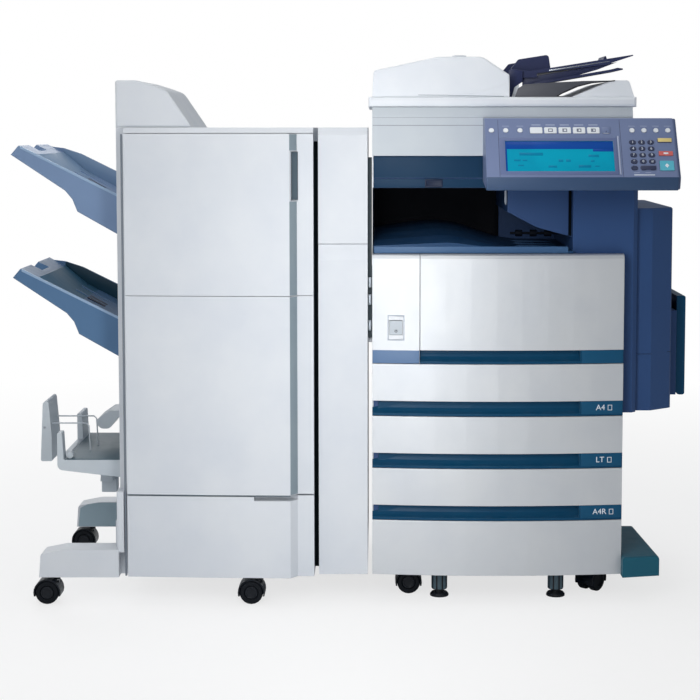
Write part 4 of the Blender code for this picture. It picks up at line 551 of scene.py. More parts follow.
class Effects:
    """Shader groups that several finishes share."""

    @staticmethod
    def begin(name: str, inputs: dict[str, float],
              outputs: Sequence[str]) -> tuple[Tree, Node, Node, Socket]:
        """Start a group with number inputs and number outputs.

        Args:
            name: The group's name.
            inputs: Names and default values of its inputs.
            outputs: Names of its outputs.

        Returns:
            The group's tree, its input and output nodes, and the object's coordinates.
        """
        group = bpy.data.node_groups.new(name, "ShaderNodeTree")
        for title, value in inputs.items():
            socket = group.interface.new_socket(title, in_out="INPUT", socket_type="NodeSocketFloat")
            socket.default_value = value
        for title in outputs:
            group.interface.new_socket(title, in_out="OUTPUT", socket_type="NodeSocketFloat")
        net = Tree(group)
        place = net.add("ShaderNodeTexCoord").outputs["Object"]
        return net, net.add("NodeGroupInput"), net.add("NodeGroupOutput"), place

    @staticmethod
    @cache
    def moulded_skin() -> bpy.types.NodeTree:
        """Spark-eroded skin of moulded plastic: fine grain, slow mottle and handling smears.

        Returns:
            The group.
        """
        net, source, sink, place = Effects.begin("moulded_skin", {"Grain Scale": 900.0, "Mottle Scale": 9.0},
                                                 ("Grain", "Mottle", "Smear"))
        grain = net.feed(net.add("ShaderNodeTexVoronoi", feature="SMOOTH_F1"), Vector=place,
                         Scale=source.outputs["Grain Scale"], Smoothness=0.6)
        mottle = net.feed(net.add("ShaderNodeTexNoise"), Vector=place, Scale=source.outputs["Mottle Scale"],
                          Detail=4.0, Roughness=0.55)
        stretch = net.feed(net.add("ShaderNodeMapping"), Vector=place, Scale=(3.0, 9.0, 1.2))
        smear = net.feed(net.add("ShaderNodeTexNoise"), Vector=stretch.outputs[0], Scale=6.0, Detail=5.0,
                         Distortion=0.6)
        net.join(grain.outputs["Distance"], sink.inputs["Grain"])
        net.join(mottle.outputs["Fac"], sink.inputs["Mottle"])
        net.join(net.span(smear.outputs["Fac"], 0.45, 0.75, 0.0, 1.0), sink.inputs["Smear"])
        return net.tree

    @staticmethod
    @cache
    def painted_edge_highlight() -> bpy.types.NodeTree:
        """Mask of the painted highlight along edges, broken up by noise.

        Returns:
            The group.
        """
        net, source, sink, place = Effects.begin("painted_edge_highlight", {"Width": 0.0015, "Breakup": 60.0}, ("Mask",))
        soft = net.add("ShaderNodeBevel", samples=4)
        net.join(source.outputs["Width"], soft.inputs["Radius"])
        true = net.add("ShaderNodeNewGeometry")
        facing = net.add("ShaderNodeVectorMath", operation="DOT_PRODUCT")
        net.join(soft.outputs["Normal"], facing.inputs[0])
        net.join(true.outputs["Normal"], facing.inputs[1])
        # Edges found from the bevelled normal: where the painted highlight goes
        edge = net.span(facing.outputs["Value"], 0.98, 0.80, 0.0, 1.0)
        patch = net.feed(net.add("ShaderNodeTexNoise"), Vector=place, Scale=source.outputs["Breakup"],
                         Detail=3.0)
        broken = net.span(patch.outputs["Fac"], 0.35, 0.65, 0.25, 1.0)
        net.join(net.sum("MULTIPLY", edge, broken), sink.inputs["Mask"])
        return net.tree

    @staticmethod
    @cache
    def settled_dust() -> bpy.types.NodeTree:
        """Mask of dust that lies on faces that look up.

        Returns:
            The group.
        """
        net, source, sink, place = Effects.begin("settled_dust", {"Scale": 25.0}, ("Mask",))
        normal = net.add("ShaderNodeSeparateXYZ")
        net.join(net.add("ShaderNodeNewGeometry").outputs["Normal"], normal.inputs[0])
        upward = net.span(normal.outputs["Z"], 0.6, 1.0, 0.0, 1.0)
        patch = net.feed(net.add("ShaderNodeTexNoise"), Vector=place, Scale=source.outputs["Scale"],
                         Detail=6.0, Roughness=0.7)
        net.join(net.sum("MULTIPLY", upward, net.span(patch.outputs["Fac"], 0.4, 0.8, 0.0, 1.0)),
                 sink.inputs["Mask"])
        return net.tree


@dataclass(frozen=True)
class Finish:
    """Material with a name and a base colour, wired by each kind of finish.

    Attributes:
        name: The finish's name.
        colour: Display colour in steps of 255.
    """

    name: str
    colour: tuple[int, int, int]

    def make(self) -> bpy.types.Material:
        """Build the material, or find it if it is already there.

        Returns:
            The material.
        """
        if self.name in bpy.data.materials:
            return bpy.data.materials[self.name]
        material = bpy.data.materials.new(self.name)
        material.use_nodes = True
        self.wire(Tree(material.node_tree), material.node_tree.nodes["Principled BSDF"])
        return material

    def paint(self, thing: Thing) -> None:
        """Give an object this finish and no other."""
        thing.data.materials.clear()
        thing.data.materials.append(self.make())

    def wire(self, net: Tree, shader: Node) -> None:
        """Add the finish's own nodes.

        Args:
            net: The material's node tree.
            shader: The shader that they are linked to.
        """
        raise NotImplementedError

    def held(self, red: float, green: float, blue: float) -> Span:
        """Base colour with each channel held back by a share."""
        base = tint(*self.colour)
        return base[0] * red, base[1] * green, base[2] * blue, 1.0


@dataclass(frozen=True)
class Moulded(Finish):
    """Moulded plastic with grain, mottle, a painted highlight along its edges and a little dust.

    Attributes:
        rough: Base roughness.
        grain: Depth of the moulded grain, in metres.
        grain_scale: Cells of grain per metre.
        edge: Display colour of the painted highlight along edges.
        edge_highlight_amount: How strongly the painted edge highlight shows.
        soft_edge: Radius that edges are seen to have.
        dust: How much dust shows on top faces.
        metal: Metallic share, for pearl paint.
        coat: Weight of a clear coat.
        gloss: Share of mirror light at the surface.
    """

    rough: float = 0.45
    grain: float = 0.00004
    grain_scale: float = 900.0
    edge: tuple[int, int, int] = (235, 238, 242)
    edge_highlight_amount: float = 0.3
    soft_edge: float = 0.0012
    dust: float = 0.04
    metal: float = 0.0
    coat: float = 0.0
    gloss: float = 0.5

    def wire(self, net: Tree, shader: Node) -> None:
        """Mottle and dust the colour, paint a highlight along its edges, smear the gloss and emboss the
        grain.
        """
        skin = net.add("ShaderNodeGroup", node_tree=Effects.moulded_skin())
        net.feed(skin, Grain_Scale=self.grain_scale, Mottle_Scale=7.0)
        edge = net.add("ShaderNodeGroup", node_tree=Effects.painted_edge_highlight())
        dust = net.add("ShaderNodeGroup", node_tree=Effects.settled_dust())
        mottle = net.span(skin.outputs["Mottle"], 0.35, 0.65, 0.0, 1.0)
        colour = net.blend(mottle, self.held(0.93, 0.94, 0.96), tint(*self.colour))
        # Painted highlight: edges blended toward the edge colour
        colour = net.blend(net.sum("MULTIPLY", edge.outputs["Mask"], self.edge_highlight_amount), colour, tint(*self.edge))
        colour = net.blend(net.sum("MULTIPLY", dust.outputs["Mask"], self.dust), colour, tint(*DUST))
        rough = net.span(skin.outputs["Smear"], 0.0, 1.0, self.rough, self.rough + 0.07)
        rough = net.sum("SUBTRACT", rough, net.sum("MULTIPLY", edge.outputs["Mask"], 0.08))
        soft = net.feed(net.add("ShaderNodeBevel", samples=4), Radius=self.soft_edge)
        bump = net.feed(net.add("ShaderNodeBump"), Strength=1.0, Distance=self.grain,
                        Height=skin.outputs["Grain"], Normal=soft.outputs["Normal"])
        net.feed(shader, Base_Color=colour, Roughness=rough, Normal=bump.outputs["Normal"],
                 Metallic=self.metal, Coat_Weight=self.coat, Coat_Roughness=0.18,
                 Specular_IOR_Level=self.gloss)


@dataclass(frozen=True)
class Metal(Finish):
    """Drawn or plated metal with fine lines along it.

    Attributes:
        rough: Base roughness.
        lines: How finely the drawing lines repeat, per metre, along each axis.
    """

    rough: float = 0.3
    lines: Triple = (40.0, 900.0, 900.0)

    def wire(self, net: Tree, shader: Node) -> None:
        """Draw lines into the colour, the gloss and the relief."""
        place = net.add("ShaderNodeTexCoord").outputs["Object"]
        stretch = net.feed(net.add("ShaderNodeMapping"), Vector=place, Scale=self.lines)
        lines = net.feed(net.add("ShaderNodeTexNoise"), Vector=stretch.outputs[0], Scale=1.0, Detail=3.0)
        colour = net.blend(lines.outputs["Fac"], self.held(0.8, 0.8, 0.82), tint(*self.colour))
        rough = net.span(lines.outputs["Fac"], 0.3, 0.7, self.rough - 0.06, self.rough + 0.08)
        bump = net.feed(net.add("ShaderNodeBump"), Strength=0.3, Distance=0.00002,
                        Height=lines.outputs["Fac"])
        net.feed(shader, Base_Color=colour, Roughness=rough, Metallic=1.0, Normal=bump.outputs["Normal"])


@dataclass(frozen=True)
class Lit(Finish):
    """Back-lit screen print with a fine dot pattern.

    Attributes:
        glow: Strength of its own light.
        dots: Dots per metre.
    """

    glow: float = 0.5
    dots: float = 1400.0

    def wire(self, net: Tree, shader: Node) -> None:
        """Cloud the colour, lay the dots over it and let it glow."""
        place = net.add("ShaderNodeTexCoord").outputs["Object"]
        dots = net.feed(net.add("ShaderNodeTexVoronoi"), Vector=place, Scale=self.dots, Randomness=0.0)
        cloud = net.feed(net.add("ShaderNodeTexNoise"), Vector=place, Scale=14.0, Detail=2.0)
        dim = self.held(0.8, 0.86, 0.9)
        colour = net.blend(net.span(cloud.outputs["Fac"], 0.4, 0.6, 0.0, 1.0), dim, tint(*self.colour))
        colour = net.blend(net.span(dots.outputs["Distance"], 0.3, 0.7, 0.0, 0.25), colour, dim)
        net.feed(shader, Base_Color=colour, Emission_Color=colour, Emission_Strength=self.glow,
                 Roughness=0.22, Specular_IOR_Level=0.15)


@dataclass(frozen=True)
class Clear(Finish):
    """Clear flat glass with faint cleaning smears."""

    def wire(self, net: Tree, shader: Node) -> None:
        """Let light through and smear the gloss."""
        skin = net.add("ShaderNodeGroup", node_tree=Effects.moulded_skin())
        rough = net.span(skin.outputs["Smear"], 0.0, 1.0, 0.02, 0.10)
        net.feed(shader, Base_Color=tint(*self.colour), Roughness=rough, Transmission_Weight=1.0, IOR=1.5)


class Shop:
    """Finishes of this machine, by use."""

    white = Moulded("pale_silver_plastic", (211, 214, 217), rough=0.48, edge=(246, 248, 250), edge_highlight_amount=0.35,
                    dust=0.02, metal=0.5)
    feeder_white = Moulded("feeder_white_plastic", (214, 218, 223), rough=0.42, edge=(248, 249, 250),
                           gloss=0.35)
    scanner_white = Moulded("scanner_white_plastic", (196, 203, 209), rough=0.5, edge=(240, 244, 246),
                            gloss=0.3)
    lid_white = Moulded("lid_white_plastic", (232, 236, 241), rough=0.42, edge=(250, 251, 252), gloss=0.35)
    shade_white = Moulded("inner_white_plastic", (176, 184, 196), rough=0.5, edge_highlight_amount=0.25)
    navy = Moulded("column_navy_plastic", (44, 76, 124), rough=0.42, edge=(110, 136, 176), gloss=0.3)
    deep_navy = Moulded("deep_navy_plastic", (20, 34, 60), rough=0.45, edge=(84, 106, 146), gloss=0.25)
    tray_navy = Moulded("tray_navy_plastic", (42, 50, 88), rough=0.36, edge=(120, 126, 160), edge_highlight_amount=0.4,
                        gloss=0.35)
    teal = Moulded("grip_teal_plastic", (10, 66, 98), rough=0.36, edge=(110, 156, 186), gloss=0.15)
    pale_blue = Moulded("pale_blue_plastic", (120, 144, 178), rough=0.40, edge=(186, 206, 228), edge_highlight_amount=0.35,
                        gloss=0.3)
    # Darker copy of the upper tray's blue for the lower tray: painted shade
    blue = Moulded("lower_tray_shaded_blue", (84, 118, 154), rough=0.40, edge=(176, 200, 224), edge_highlight_amount=0.35,
                   gloss=0.3)
    label_blue = Moulded("label_block_plastic", (24, 80, 114), rough=0.38, edge=(120, 164, 196), gloss=0.15)
    strip_blue = Moulded("switch_strip_plastic", (96, 124, 160), rough=0.40, edge=(170, 194, 222), gloss=0.3)
    deep_blue = Moulded("stabiliser_teal_plastic", (28, 94, 114), rough=0.45, edge=(110, 150, 166),
                        gloss=0.25)
    slate = Moulded("panel_slate_plastic", (112, 126, 162), rough=0.40, edge=(190, 202, 224))
    deep_slate = Moulded("panel_end_plastic", (70, 86, 122), rough=0.40, edge=(150, 166, 196))
    surround = Moulded("screen_surround_plastic", (96, 110, 150), rough=0.42, edge=(170, 182, 208))
    slate_light = Moulded("screen_edge_plastic", (160, 170, 196), rough=0.36, edge=(210, 216, 230), edge_highlight_amount=0.25)
    caption = Moulded("caption_print", (176, 186, 208), rough=0.6, grain=0.0, edge_highlight_amount=0.0, dust=0.0,
                      soft_edge=0.0002)
    faint_ink = Moulded("icon_print", (112, 120, 136), rough=0.6, grain=0.0, edge_highlight_amount=0.0, dust=0.0,
                        soft_edge=0.0002)
    outlet_grey = Moulded("outlet_grey_plastic", (74, 76, 84), rough=0.42, edge=(150, 152, 160))
    lip = Moulded("panel_lip_plastic", (44, 72, 108), rough=0.42, edge=(120, 146, 184), edge_highlight_amount=0.25)
    grey = Moulded("cool_grey_plastic", (196, 204, 210), rough=0.45, gloss=0.35, edge_highlight_amount=0.25)
    black = Moulded("satin_black_plastic", (18, 22, 28), rough=0.42, edge=(100, 106, 114), gloss=0.3)
    rubber = Moulded("wheel_rubber", (6, 12, 20), rough=0.55, grain=0.00008, grain_scale=500.0,
                     edge=(40, 48, 58), gloss=0.2, edge_highlight_amount=0.25)
    caster = Moulded("caster_black_plastic", (5, 12, 22), rough=0.28, edge=(70, 82, 98), gloss=0.3)
    key = Moulded("key_white_rubber", (232, 236, 240), rough=0.5, soft_edge=0.0006, edge_highlight_amount=0.25)
    key_dark = Moulded("key_slate_rubber", (46, 54, 84), rough=0.5, edge=(150, 156, 180), soft_edge=0.0006,
                       edge_highlight_amount=0.25)
    start = Moulded("start_key_plastic", (92, 186, 206), rough=0.34, soft_edge=0.0006, edge_highlight_amount=0.25)
    stop = Moulded("stop_key_plastic", (212, 104, 100), rough=0.38, soft_edge=0.0006, edge_highlight_amount=0.25)
    yellow = Moulded("yellow_key_plastic", (228, 206, 132), rough=0.38, soft_edge=0.0006, edge_highlight_amount=0.25)
    green = Moulded("jam_knob_green", (44, 132, 96), rough=0.42, edge_highlight_amount=0.25)
    ink = Moulded("dark_print", (30, 36, 52), rough=0.6, grain=0.0, edge_highlight_amount=0.0, dust=0.0, soft_edge=0.0002)
    print_white = Moulded("white_print", (232, 238, 244), rough=0.6, grain=0.0, edge_highlight_amount=0.0, dust=0.0,
                          soft_edge=0.0002)
    # Painted shade: grey for the doors' right-facing chamfer
    chamfer_shade_grey = Moulded("door_chamfer_painted_shade", (138, 152, 160), rough=0.45, edge=(204, 212, 218), gloss=0.3)
    # Painted shade: grey for the shade in the finisher's left groove
    groove_painted_shade = Moulded("groove_painted_shade", (112, 120, 130), rough=0.6, edge_highlight_amount=0.1, dust=0.0)
    grip_shade = Moulded("grip_shade", (84, 100, 110), rough=0.6, edge_highlight_amount=0.1, dust=0.0, gloss=0.2)
    tray_pale = Moulded("tray_floor_pale", (120, 148, 178), rough=0.42, edge=(190, 206, 226), gloss=0.4)
    # Painted shade: darker teal copy of the tray floor for the lower tray
    lower_tray_floor_shade = Moulded("lower_tray_floor_painted_shade", (52, 104, 132), rough=0.42, edge=(120, 160, 180), gloss=0.4)
    booklet_grey = Moulded("booklet_floor_grey", (92, 112, 122), rough=0.5, edge=(160, 174, 182), edge_highlight_amount=0.2,
                           gloss=0.2)
    foot_teal = Moulded("foot_sleeve_teal", (70, 92, 102), rough=0.5, edge=(130, 146, 154))
    deep_teal = Moulded("deep_teal_plastic", (8, 40, 52), rough=0.5, edge=(70, 100, 110))
    neck_teal = Moulded("neck_teal_plastic", (24, 56, 84), rough=0.42, edge=(90, 124, 156), gloss=0.12)
    # Painted shade: near-black for the inside of the paper exit
    exit_shade_black = Moulded("exit_painted_shade_black", (4, 9, 20), rough=0.6, edge=(30, 44, 64), edge_highlight_amount=0.2, dust=0.0, gloss=0.1)
    # Painted shade: exit tray darkened for the shade inside the exit
    exit_shaded_blue = Moulded("exit_tray_painted_shade", (30, 66, 104), rough=0.38, edge=(110, 146, 184), gloss=0.2)
    # Painted light: lighter blue for the lit front lip of the exit tray
    exit_lip_lit_blue = Moulded("exit_lip_painted_light", (64, 100, 140), rough=0.4, edge=(140, 172, 206), gloss=0.3)
    # Painted highlight: pale strip along the trays' front rim
    rim_highlight = Moulded("tray_rim_painted_highlight", (150, 176, 204), rough=0.4, edge=(206, 220, 234), gloss=0.4)
    # Painted shade: dark teal back wall of the lower tray
    lower_tray_wall_shade = Moulded("lower_tray_wall_painted_shade", (14, 56, 74), rough=0.42, edge=(90, 130, 146), gloss=0.25)
    leg_shade = Moulded("rear_leg_grey", (150, 170, 180), rough=0.45, edge=(180, 190, 196), gloss=0.3)
    seam = Moulded("seam_grey", (150, 156, 166), rough=0.7, edge_highlight_amount=0.0, dust=0.0)
    # Painted shade: black for the shade in gaps
    shadow = Moulded("gap_painted_shade", (4, 10, 14), rough=0.8, edge_highlight_amount=0.0, dust=0.0, gloss=0.05)
    foam = Moulded("white_platen_sheet", (238, 240, 240), rough=0.6, grain=0.00006, grain_scale=1400.0,
                   edge_highlight_amount=0.25)
    steel = Metal("drawn_steel", (190, 196, 204), rough=0.28)
    zinc = Metal("zinc_plate", (170, 178, 186), rough=0.4, lines=(200.0, 200.0, 60.0))
    drum = Moulded("drum_film", (60, 104, 122), rough=0.16, grain=0.0, edge_highlight_amount=0.0, coat=0.6)
    screen = Lit("screen_cyan", (2, 150, 178), glow=0.12)
    header = Lit("screen_header", (20, 70, 150), glow=0.12)
    screen_ink = Lit("screen_mark", (6, 116, 150), glow=0.25)
    glass = Clear("platen_glass_clear", (226, 240, 240))


# Studio

@dataclass(frozen=True)
class SoftBox:
    """Rectangular studio lamp.

    Attributes:
        name: The lamp's name.
        place: Where it stands.
        aim: The point that it looks at.
        size: Its width and height.
        power: Its power in watts.
        spread: Angle that its light is kept to, in degrees.
    """

    name: str
    place: Triple
    aim: Triple
    size: tuple[float, float]
    power: float
    spread: float = 180.0

    def build(self) -> None:
        """Set the lamp, out of the camera's sight."""
        Bench.clear()
        bpy.ops.object.light_add(type="AREA", location=self.place)
        lamp = bpy.context.object
        lamp.name = self.name
        lamp.data.shape = "RECTANGLE"
        lamp.data.size, lamp.data.size_y = self.size
        lamp.data.energy = self.power
        lamp.data.spread = math.radians(self.spread)
        lamp.visible_camera = False
        lamp.rotation_euler = (Vector(self.aim) - Vector(self.place)).to_track_quat("-Z", "Y").to_euler()


@dataclass
class Studio:
    """Plain pale floor, soft studio light and a camera at the photograph's viewing angle.

    Attributes:
        eye: Place of the camera.
        pitch: Downward tilt of the camera, in degrees.
        sensor: Width of the camera's sensor, in millimetres.
        focal: Focal length in image widths.
        horizon: Height of the horizon in the frame, in image widths below its top edge.
        centre: Place of the optical axis across the frame, in image widths from its left edge.
        ambient: Strength of the surround as a light.
        floor_size: Width of the floor.
        fade: Distances from the machine where the floor starts to fade and where it is white.
        boxes: The lamps.
    """

    eye: Triple = (0.052, -3.7965, 1.05)
    pitch: float = 4.5
    sensor: float = 36.0
    focal: float = 1636 / 700
    horizon: float = 128 / 700
    centre: float = 375 / 700
    ambient: float = 0.30
    floor_size: float = 16.0
    fade: Spot = (1.2, 3.2)
    boxes: tuple[SoftBox, ...] = (
        SoftBox("key_softbox", (-0.7, -2.9, 1.9), (0.0, 0.0, 0.65), (1.2, 1.2), 21.0),
        SoftBox("near_strip", (0.0, -1.15, 0.78), (-0.01, 0.0, 0.60), (0.22, 1.1), 2.3, 115.0),
        SoftBox("left_softbox", (-3.0, -2.2, 2.2), (-0.3, 0.0, 0.7), (1.8, 1.8), 10.0),
        SoftBox("right_softbox", (3.0, -2.4, 1.6), (0.1, 0.0, 0.6), (1.8, 1.8), 4.0),
        SoftBox("top_softbox", (-0.2, 0.2, 3.4), (0.0, 0.1, 0.8), (2.4, 2.4), 30.0),
        SoftBox("back_softbox", (-1.6, 3.0, 2.0), (0.0, 0.2, 0.7), (1.8, 1.8), 30.0))

    def build(self) -> None:
        """Set the camera, the lamps, the world and the floor."""
        self.camera()
        for box in self.boxes:
            box.build()
        self.world()
        self.floor()
        bpy.context.scene.view_settings.view_transform = "Standard"

    def camera(self) -> None:
        """Camera whose shift frames the machine as in the photograph."""
        Bench.clear()
        tilt = math.radians(self.pitch)
        bpy.ops.object.camera_add(location=self.eye, rotation=(math.pi / 2 - tilt, 0, 0))
        camera = bpy.context.object
        camera.name = "studio_camera"
        camera.data.sensor_width = self.sensor
        camera.data.lens = self.sensor * self.focal
        camera.data.shift_x = 0.5 - self.centre
        camera.data.shift_y = self.horizon + self.focal * math.tan(tilt) - 0.5
        bpy.context.scene.camera = camera

    def world(self) -> None:
        """White surround for the camera and through glass, softer as a light."""
        world = bpy.data.worlds.new("studio_world")
        bpy.context.scene.world = world
        world.use_nodes = True
        net = Tree(world.node_tree)
        seen = self.seen(net)
        back = world.node_tree.nodes["Background"]
        net.join(net.blend(seen, (0.90, 0.93, 0.96, 1.0), (1.0, 1.0, 1.0, 1.0)), back.inputs["Color"])
        net.join(net.span(seen, 0.0, 1.0, self.ambient, 1.0), back.inputs["Strength"])

    @staticmethod
    def seen(net: Tree) -> Socket:
        """Mask of rays from the camera, also through glass."""
        path = net.add("ShaderNodeLightPath")
        return net.sum("MAXIMUM", path.outputs["Is Camera Ray"], path.outputs["Is Transmission Ray"])

    def floor(self) -> None:
        """Pale floor that keeps the machine's shadow and fades to white."""
        Bench.clear()
        bpy.ops.mesh.primitive_grid_add(x_subdivisions=8, y_subdivisions=8, size=self.floor_size,
                                        location=(0, 0, -0.0006))
        floor = Bench.settle(bpy.context.object, "studio_floor")
        material = bpy.data.materials.new("studio_paper")
        material.use_nodes = True
        net = Tree(material.node_tree)
        shader = material.node_tree.nodes["Principled BSDF"]
        place = net.add("ShaderNodeTexCoord").outputs["Object"]
        cloud = net.feed(net.add("ShaderNodeTexNoise"), Vector=place, Scale=30.0, Detail=2.0)
        pale = net.blend(cloud.outputs["Fac"], (0.90, 0.91, 0.92, 1.0), (0.94, 0.94, 0.95, 1.0))
        net.feed(shader, Base_Color=pale, Roughness=0.75)
        glow = net.feed(net.add("ShaderNodeEmission"), Color=(1.0, 1.0, 1.0, 1.0), Strength=1.0)
        mix = net.add("ShaderNodeMixShader")
        length = net.add("ShaderNodeVectorMath", operation="LENGTH")
        net.join(place, length.inputs[0])
        fade = net.span(length.outputs["Value"], *self.fade, 0.72, 1.0)
        net.join(net.sum("MULTIPLY", self.seen(net), fade), mix.inputs[0])
        net.join(shader.outputs[0], mix.inputs[1])
        net.join(glow.outputs[0], mix.inputs[2])
        net.join(mix.outputs[0], material.node_tree.nodes["Material Output"].inputs["Surface"])
        floor.data.materials.append(material)


# Dressing

class Dresser:
    """Gives finishes to CAD nodes and keeps the list of new pieces."""

    def __init__(self, frame: dict) -> None:
        """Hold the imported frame.
        """
        self.nodes: dict[str, Thing] = frame["nodes"]
        self.pieces: list[str] = []

    def finish(self, names: Iterable[str], kind: Finish) -> None:
        """Give one finish to CAD nodes."""
        for name in names:
            kind.paint(self.nodes[name])

    def dress_nodes(self) -> None:
        """Finish every CAD node."""
        self.finish(("base_panel", "switch_panel", "front_cover", "drawer_1_front", "drawer_2_front",
                     "drawer_3_front", "rear_cover"), Shop.white)
        self.finish(("scanner_housing",), Shop.scanner_white)
        self.finish(("adf_base", "adf_feed_cover"), Shop.lid_white)
        self.finish(("finisher_frame", "finisher_hood", "finisher_upper_door", "finisher_lower_door",
                     "finisher_legs", "punch_unit"), Shop.feeder_white)
        self.finish(("copier_chassis", "side_cover"), Shop.navy)
        self.finish(("front_cover_grip", "drawer_1_cassette", "drawer_2_cassette", "drawer_3_cassette",
                     "bypass_tray"), Shop.teal)
        self.finish(("upper_tray",), Shop.pale_blue)
        # The lower tray gets the darker blue: painted shade
        self.finish(("lower_tray",), Shop.blue)
        # Exit tray in the darker blue: painted shade
        self.finish(("exit_tray",), Shop.exit_shaded_blue)
        self.finish(("stabiliser",), Shop.deep_blue)
        self.finish(("control_panel",), Shop.slate)
        self.finish(("saddle_tray", "saddle_stopper", "saddle_flapper", "power_switch"), Shop.grey)
        self.finish(("adf_input_tray", "document_guide_front", "document_guide_rear"), Shop.tray_navy)
        self.finish(("scan_carriage", "toner_bottle", "levelling_foot_left", "levelling_foot_right"),
                    Shop.black)
        self.finish(("function_keys",), Shop.key)
        self.finish(("keypad",), Shop.key_dark)
        self.finish(("start_key",), Shop.start)
        self.finish(("stop_key",), Shop.stop)
        self.finish(("platen_glass",), Shop.glass)
        self.finish(("lcd_screen",), Shop.screen)
        self.finish(("photo_drum",), Shop.drum)
        self.finish((name for name in self.nodes if name.endswith("caster_wheels")), Shop.rubber)
        self.finish((name for name in self.nodes if name.endswith("caster_hood")), Shop.caster)


@dataclass
class Assembly:
    """Part of the machine that gets pieces of its own.

    Attributes:
        dresser: Knows the CAD nodes and the new pieces.
    """

    dresser: Dresser

    def build(self) -> None:
        """Build every piece of the assembly."""
        raise NotImplementedError

    def wear(self, thing: Thing, kind: Finish, slot: Slot, body: str = "root", corner: float = 0.0) -> None:
        """Round a new piece's edges, finish it and let it ride on a body.

        Args:
            thing: The piece, in place.
            kind: Its finish.
            slot: The record's material slot nearest to its finish; not used.
            body: The CAD body that carries it.
            corner: Radius of its edges, or 0 to leave them.
        """
        if corner > 0:
            Bench.round_off(thing, corner)
        kind.paint(thing)
        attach(thing, body)
        self.dresser.pieces.append(thing.name)
        LOG.info("piece %s rides on %s", thing.name, body)


# Control panel

